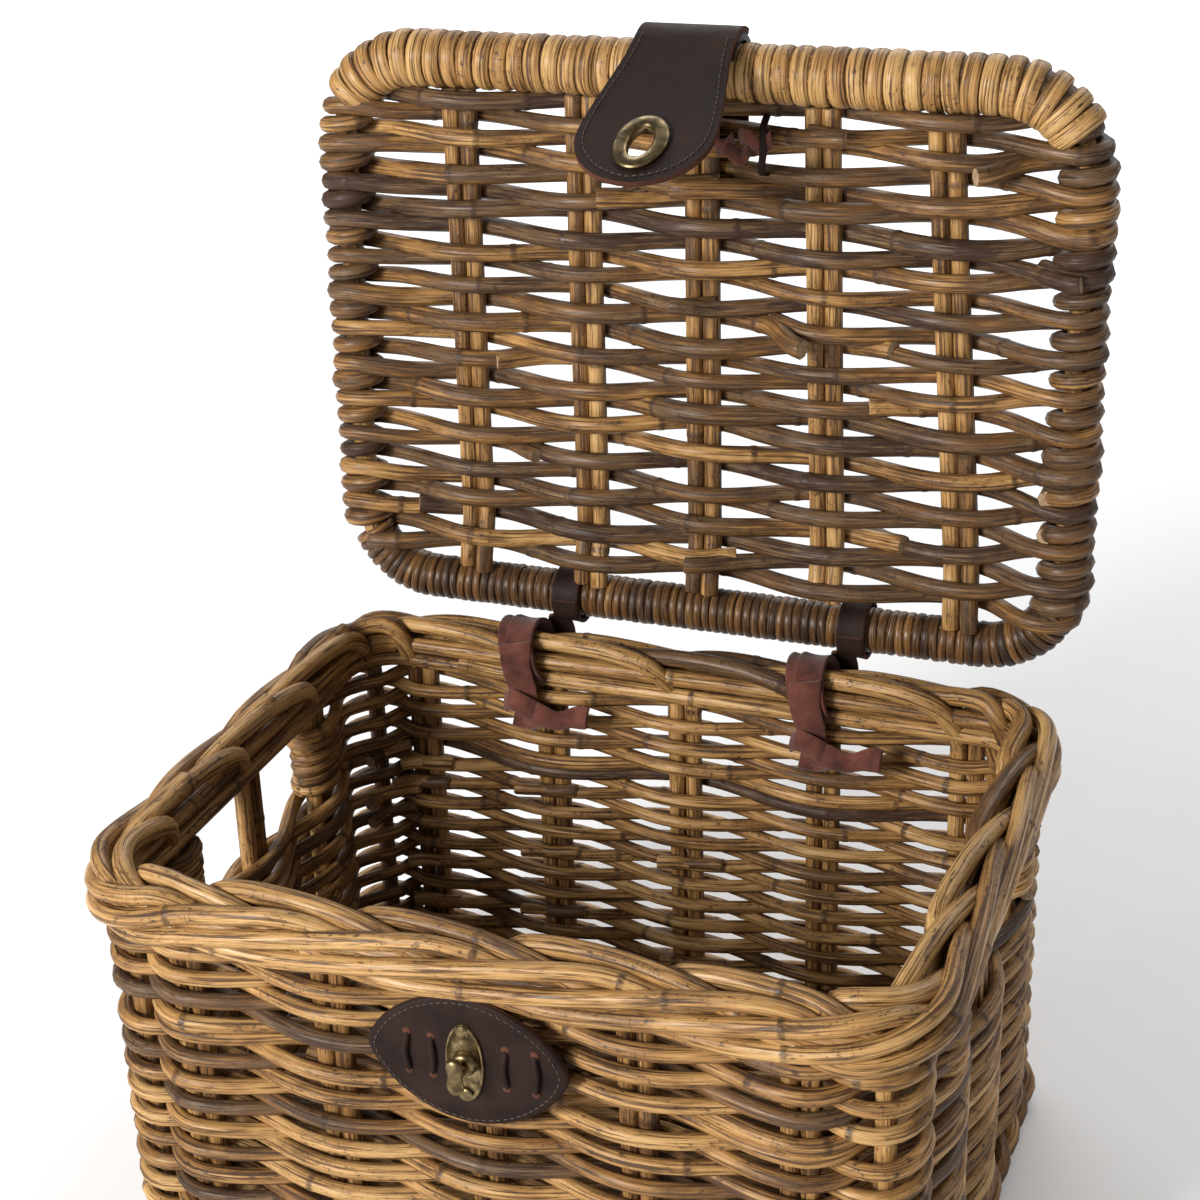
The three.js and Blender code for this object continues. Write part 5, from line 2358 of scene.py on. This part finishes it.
@dataclass
class Clasp:
    """The leather patch on the front with its brass turn lock."""

    finishes: Finishes
    thick: float = 3.0 * MM

    def leaf(self, turn: Array, half_x: float, half_z: float) -> Array:
        """Draws the outline of a leaf with soft points.

        Args:
            turn: Angles round it.
            half_x: Half its width.
            half_z: Half its height.

        Returns:
            Its points, as distances along x and z from its middle.
        """
        cos, sin = np.cos(turn), np.sin(turn)
        x = half_x * np.sign(cos) * np.abs(cos) ** 1.05
        z = half_z * np.sign(sin) * np.abs(sin) ** 1.32
        return np.stack([x, z], axis=-1)

    def lift(self, z: Array) -> Array:
        """Returns how far the rim pushes the patch forwards at a height over its middle."""
        return 1.2 * MM * smoothstep((np.asarray(z) - 6 * MM) / (22 * MM))

    def patch(self) -> None:
        """Builds the stitched patch."""
        low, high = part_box("clasp_patch")
        self.middle = np.array([(low.x + high.x) / 2, 0.0, (low.z + high.z) / 2])
        half_x, half_z = (high.x - low.x) / 2, (high.z - low.z) / 2
        turn = np.linspace(0, 2 * np.pi, 121)[:-1]
        rings = [
            (0.0, -0.9),
            (0.3, -0.85),
            (0.6, -0.6),
            (0.85, -0.25),
            (0.93, -0.35),
            (0.965, -0.12),
            (0.985, 0.35),
            (1.0, 1.0),
            (1.0, 2.0),
            (0.985, 2.7),
            (0.5, 2.9),
            (0.0, 2.9),
        ]
        outline = self.leaf(turn, half_x, half_z)
        points = [self.middle + np.array([0, low.y + rings[0][1] * MM, 0])]
        for scale, depth in rings[1:-1]:
            for x, z in outline * scale:
                points.append(self.middle + np.array([x, low.y + depth * MM - self.lift(z), z]))
        points.append(self.middle + np.array([0, low.y + rings[-1][1] * MM, 0]))
        n = len(turn)
        faces, edge = [], []
        for j in range(n):
            faces.append((0, 1 + j, 1 + (j + 1) % n))
            edge.append(0)
        for i in range(len(rings) - 3):
            for j in range(n):
                a, b = 1 + i * n + j, 1 + i * n + (j + 1) % n
                faces.append((a, a + n, b + n, b))
                edge.append(1 if 6 <= i <= 8 else 0)
        base = 1 + (len(rings) - 3) * n
        for j in range(n):
            faces.append((base + j, len(points) - 1, base + (j + 1) % n))
            edge.append(0)
        data = bpy.data.meshes.new("clasp_patch_leather")
        data.from_pydata([tuple(p) for p in points], [], faces)
        data.materials.append(self.finishes.leather)
        data.materials.append(self.finishes.edge)
        data.polygons.foreach_set("use_smooth", [True] * len(faces))
        data.polygons.foreach_set("material_index", edge)
        outward_faces(data)
        leather = link("clasp_patch_leather", data)
        inner = self.leaf(turn, half_x - 3.6 * MM, half_z - 2.6 * MM)
        line = np.stack(
            [
                self.middle[0] + inner[:, 0],
                low.y - 0.35 * MM - self.lift(inner[:, 1]),
                self.middle[2] + inner[:, 1],
            ],
            axis=1,
        )
        facing = np.broadcast_to(FORWARD, line.shape)
        stitch = stitch_mark("patch_stitch", 2.6 * MM, 0.7 * MM)
        row = AlongLine("patch_stitch_tree", self.finishes.thread).run(
            "clasp_patch_stitching", line, facing, stitch, True,
            Spacing=3.4 * MM, Tilt=0.06, Smallest=0.9, Seed=9,
        )
        made = join_pieces("clasp_patch_leather", leather, row)
        settle(made, "basket", "leather", "clasp_patch")

    def laces(self) -> None:
        """Builds the four laces that tie the patch to the weave."""
        bundle = CaneBundle(71, sides=8, step=1.5 * MM)
        nodes = sorted(n for n in frame["nodes"] if n.startswith("clasp_lace"))
        for index, node in enumerate(nodes):
            low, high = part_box(node)
            x = (low.x + high.x) / 2
            bow = (-1.0, 0.8, -0.8, 1.0)[index % 4]
            front = low.y + 0.6 * MM
            line = smooth_path(
                [
                    (x, front + 3.5 * MM, high.z + 0.5 * MM),
                    (x, front + 0.2 * MM, high.z - 1.5 * MM),
                    (x + bow * MM, front - 0.6 * MM, (low.z + high.z) / 2),
                    (x, front + 0.2 * MM, low.z + 1.5 * MM),
                    (x, front + 3.5 * MM, low.z - 0.5 * MM),
                ],
                8,
            )
            bundle.lay(line, 1.5 * MM, 0.2, up=ALONG, joints=(5.0, 6.0))
        made = bundle.mesh("clasp_lacing", self.finishes.leather, self.finishes.edge)
        rust = []
        for node in nodes:
            low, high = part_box(node)
            x = (low.x + high.x) / 2
            for z in (low.z - 0.6 * MM, high.z + 0.6 * MM):
                rust.append(
                    self.spindle(
                        f"{node}_hole", [(0.0, 0.4), (1.2, 0.4), (1.9, 0.1), (2.1, -0.6)],
                        Vector((x, low.y + 1.0 * MM, z)), 14, self.finishes.edge,
                    )
                )
        made = join_pieces("clasp_lacing", made, *rust)
        settle(made, "basket", "leather", *nodes)

    def spindle(
        self,
        name: str,
        profile: Sequence[tuple[float, float]],
        at: Vector,
        sides: int,
        finish: Material,
        squeeze: float = 1.0,
    ) -> Thing:
        """Turns a profile about an axis that points to the front.

        Args:
            name: The object's name.
            profile: Radius and rise to the front of each ring, in millimetres, from the middle out.
            at: Where its foot stands.
            sides: Faces round it.
            finish: Its finish.
            squeeze: Its width along x as a share of its height.

        Returns:
            The piece, closed at the back.
        """
        points, faces = [], []
        for radius, rise in profile:
            for j in range(sides):
                turn = j * 2 * math.pi / sides
                points.append(
                    (
                        at.x + MM * squeeze * radius * math.cos(turn),
                        at.y - MM * rise,
                        at.z + MM * radius * math.sin(turn),
                    )
                )
        for i in range(len(profile) - 1):
            for j in range(sides):
                k = (j + 1) % sides
                faces.append(
                    (i * sides + j, i * sides + k, (i + 1) * sides + k, (i + 1) * sides + j)
                )
        faces.append(tuple((len(profile) - 1) * sides + j for j in range(sides)))
        if profile[0][0] > 0:
            faces.append(tuple(range(sides)))
        data = bpy.data.meshes.new(name)
        data.from_pydata(points, [], faces)
        outward_faces(data)
        data.polygons.foreach_set("use_smooth", [True] * len(data.polygons))
        data.materials.append(finish)
        return link(name, data)

    def lock(self) -> None:
        """Builds the oval plate, its rivets and the toggle."""
        low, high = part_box("clasp_plate")
        at = Vector(((low.x + high.x) / 2, high.y, (low.z + high.z) / 2))
        tall = (high.z - low.z) / 2 / MM
        profile = [
            (0.0, 1.1),
            (0.62 * tall, 1.1),
            (0.84 * tall, 1.3),
            (0.9 * tall, 2.1),
            (0.96 * tall, 2.3),
            (1.0 * tall, 1.7),
            (1.02 * tall, 0.7),
            (1.0 * tall, 0.0),
        ]
        plate = self.spindle(
            "turn_lock_plate", profile, at, 48, self.finishes.brass,
            (high.x - low.x) / (high.z - low.z),
        )
        collar = self.spindle(
            "turn_lock_collar", [(0.0, 4.6), (3.4, 4.6), (4.6, 4.2), (5.4, 2.9), (5.8, 1.0)], at,
            32, self.finishes.brass,
        )
        settle(join_pieces("turn_lock_plate", plate, collar), "basket", "aged_brass", "clasp_plate")
        for place in ("upper", "lower"):
            node = f"clasp_rivet_{place}"
            low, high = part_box(node)
            foot = Vector(((low.x + high.x) / 2, high.y + 0.4 * MM, (low.z + high.z) / 2))
            dome = [(0.0, 1.2), (1.2, 1.15), (2.2, 0.95), (2.9, 0.6), (3.3, 0.2), (3.3, 0.0)]
            rivet = self.spindle(f"turn_lock_rivet_{place}", dome, foot, 24, self.finishes.brass)
            settle(rivet, "basket", "aged_brass", node)
        self.toggle()

    def toggle(self) -> None:
        """Builds the turning knob: a waisted bar on a short post."""
        low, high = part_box("clasp_toggle")
        middle = (low + high) / 2
        bundle = bmesh.new()
        stations = (
            (-1.0, 0.5),
            (-0.93, 2.3),
            (-0.75, 3.6),
            (-0.5, 4.1),
            (-0.2, 3.5),
            (0.0, 3.3),
            (0.2, 3.5),
            (0.5, 4.1),
            (0.75, 3.6),
            (0.93, 2.3),
            (1.0, 0.5),
        )
        half = (high.z - low.z) / 2
        front = low.y + 1.9 * MM
        rings = []
        for share, reach in stations:
            ring = []
            for j in range(16):
                turn = j * 2 * math.pi / 16
                x = middle.x + MM * reach * math.cos(turn)
                bulge = 1.6 + 0.3 * (abs(share) < 0.9) * abs(share)
                y = front - MM * min(reach, bulge) * math.sin(turn)
                ring.append(bundle.verts.new((x, y, middle.z + share * half)))
            rings.append(ring)
        for a, b in zip(rings[:-1], rings[1:]):
            for j in range(16):
                bundle.faces.new((a[j], a[(j + 1) % 16], b[(j + 1) % 16], b[j]))
        bundle.faces.new(rings[0])
        bundle.faces.new(rings[-1])
        data = bpy.data.meshes.new("turn_lock_toggle")
        bundle.to_mesh(data)
        bundle.free()
        outward_faces(data)
        data.polygons.foreach_set("use_smooth", [True] * len(data.polygons))
        data.materials.append(self.finishes.brass)
        knob = link("turn_lock_toggle", data)
        depth = (high.y - front) / MM - 2.0
        post = self.spindle(
            "turn_lock_post", [(0.0, depth), (2.9, depth), (2.9, 0.0)],
            Vector((middle.x, high.y - 2.0 * MM, middle.z)), 20, self.finishes.brass,
        )
        settle(join_pieces("turn_lock_toggle", knob, post), "toggle", "aged_brass", "clasp_toggle")

    def build(self) -> None:
        """Builds the clasp."""
        self.patch()
        self.laces()
        self.lock()


# ---- the studio ---------------------------------------------------------------------------


@dataclass
class Studio:
    """A pale floor, soft lights and the camera."""

    lens: float = 70.3
    place: tuple[float, float, float] = (0.344249, -0.869593, 0.732861)

    def camera(self) -> None:
        """Stands the camera to the right of the front, looking down and turned a little."""
        data = bpy.data.cameras.new("studio_camera")
        data.sensor_width = 36.0
        data.lens = self.lens
        data.clip_end = 50.0
        camera = bpy.data.objects.new("studio_camera", data)
        right = Vector((0.93726, 0.34723, -0.03138))
        up = Vector((-0.11912, 0.40352, 0.90718))
        back = right.cross(up)
        turn = Matrix((right, up, back)).transposed().to_4x4()
        camera.matrix_world = Matrix.Translation(self.place) @ turn
        bpy.context.scene.collection.objects.link(camera)
        bpy.context.scene.camera = camera

    def lamp(
        self, name: str, place: Sequence[float], size: float, power: float, aim: Sequence[float] = (
            0.0, 0.0, 0.22
        )
    ) -> None:
        """Adds a soft square light.

        Args:
            name: The light's name.
            place: Where it hangs.
            size: Its width.
            power: Its power in watts.
            aim: The point that it faces.
        """
        data = bpy.data.lights.new(name, "AREA")
        data.size = size
        data.energy = power
        lamp = bpy.data.objects.new(name, data)
        lamp.location = place
        lamp.rotation_euler = (Vector(aim) - Vector(place)).to_track_quat("-Z", "Y").to_euler()
        bpy.context.scene.collection.objects.link(lamp)

    def floor(self) -> None:
        """Lays the pale floor."""
        data = bpy.data.meshes.new("studio_floor")
        half = 9.0
        data.from_pydata(
            [(-half, -half, 0), (half, -half, 0), (half, half, 0), (-half, half, 0)],
            [],
            [(0, 1, 2, 3)],
        )
        bench = NodeBench("pale_floor")
        cloud = bench.noise(bench.place(), (0.6, 0.6, 0.6), 2.0)
        bench.join(
            bench.ramp(cloud, [(0.0, (0.93, 0.93, 0.93)), (1.0, (0.96, 0.96, 0.96))]),
            bench.shader.inputs["Base Color"],
        )
        bench.shader_values(Roughness=0.9)
        data.materials.append(bench.material)
        link("studio_floor", data)

    def build(self) -> None:
        """Sets up the camera, the floor, the sky and the lights."""
        self.camera()
        self.floor()
        scene = bpy.context.scene
        scene.view_settings.view_transform = "Standard"
        world = bpy.data.worlds.new("studio_sky")
        world.use_nodes = True
        sky = world.node_tree.nodes["Background"]
        sky.inputs[0].default_value = (1.0, 1.0, 1.0, 1.0)
        sky.inputs[1].default_value = 0.19
        scene.world = world
        self.lamp("key_light", (-1.3, -2.3, 1.25), 0.9, 97.0)
        self.lamp("fill_light", (-0.3, -2.8, 1.0), 1.6, 10.0)
        self.lamp("floor_light", (0.0, 5.2, 3.0), 7.0, 420.0, aim=(0.0, 5.2, 0.0))


def dress_sleeve(finishes: Finishes) -> None:
    """Gives the plain sleeve under the strap its leather.

    Args:
        finishes: The basket's finishes.
    """
    data = frame["nodes"]["strap_sleeve"].data
    data.materials.clear()
    data.materials.append(finishes.leather)
    LOG.info("strap_sleeve: dressed in leather")


def main() -> None:
    """Builds the basket in order."""
    logging.basicConfig(level=logging.INFO, format="%(name)s %(message)s", stream=sys.stdout)
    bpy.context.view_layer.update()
    Studio().build()
    finishes = Finishes()
    walls = WallShape()
    BasketWalls(walls, finishes).build()
    RimPlait(walls, finishes).build()
    WovenBase(walls, finishes).build()
    plane = LidPlane()
    LidFrame(plane, finishes).build()
    LidWeave(plane, finishes).build()
    LatchStrap(plane, finishes).build()
    Bands(plane, finishes).build()
    Clasp(finishes).build()
    dress_sleeve(finishes)


if __name__ == "__main__":
    main()
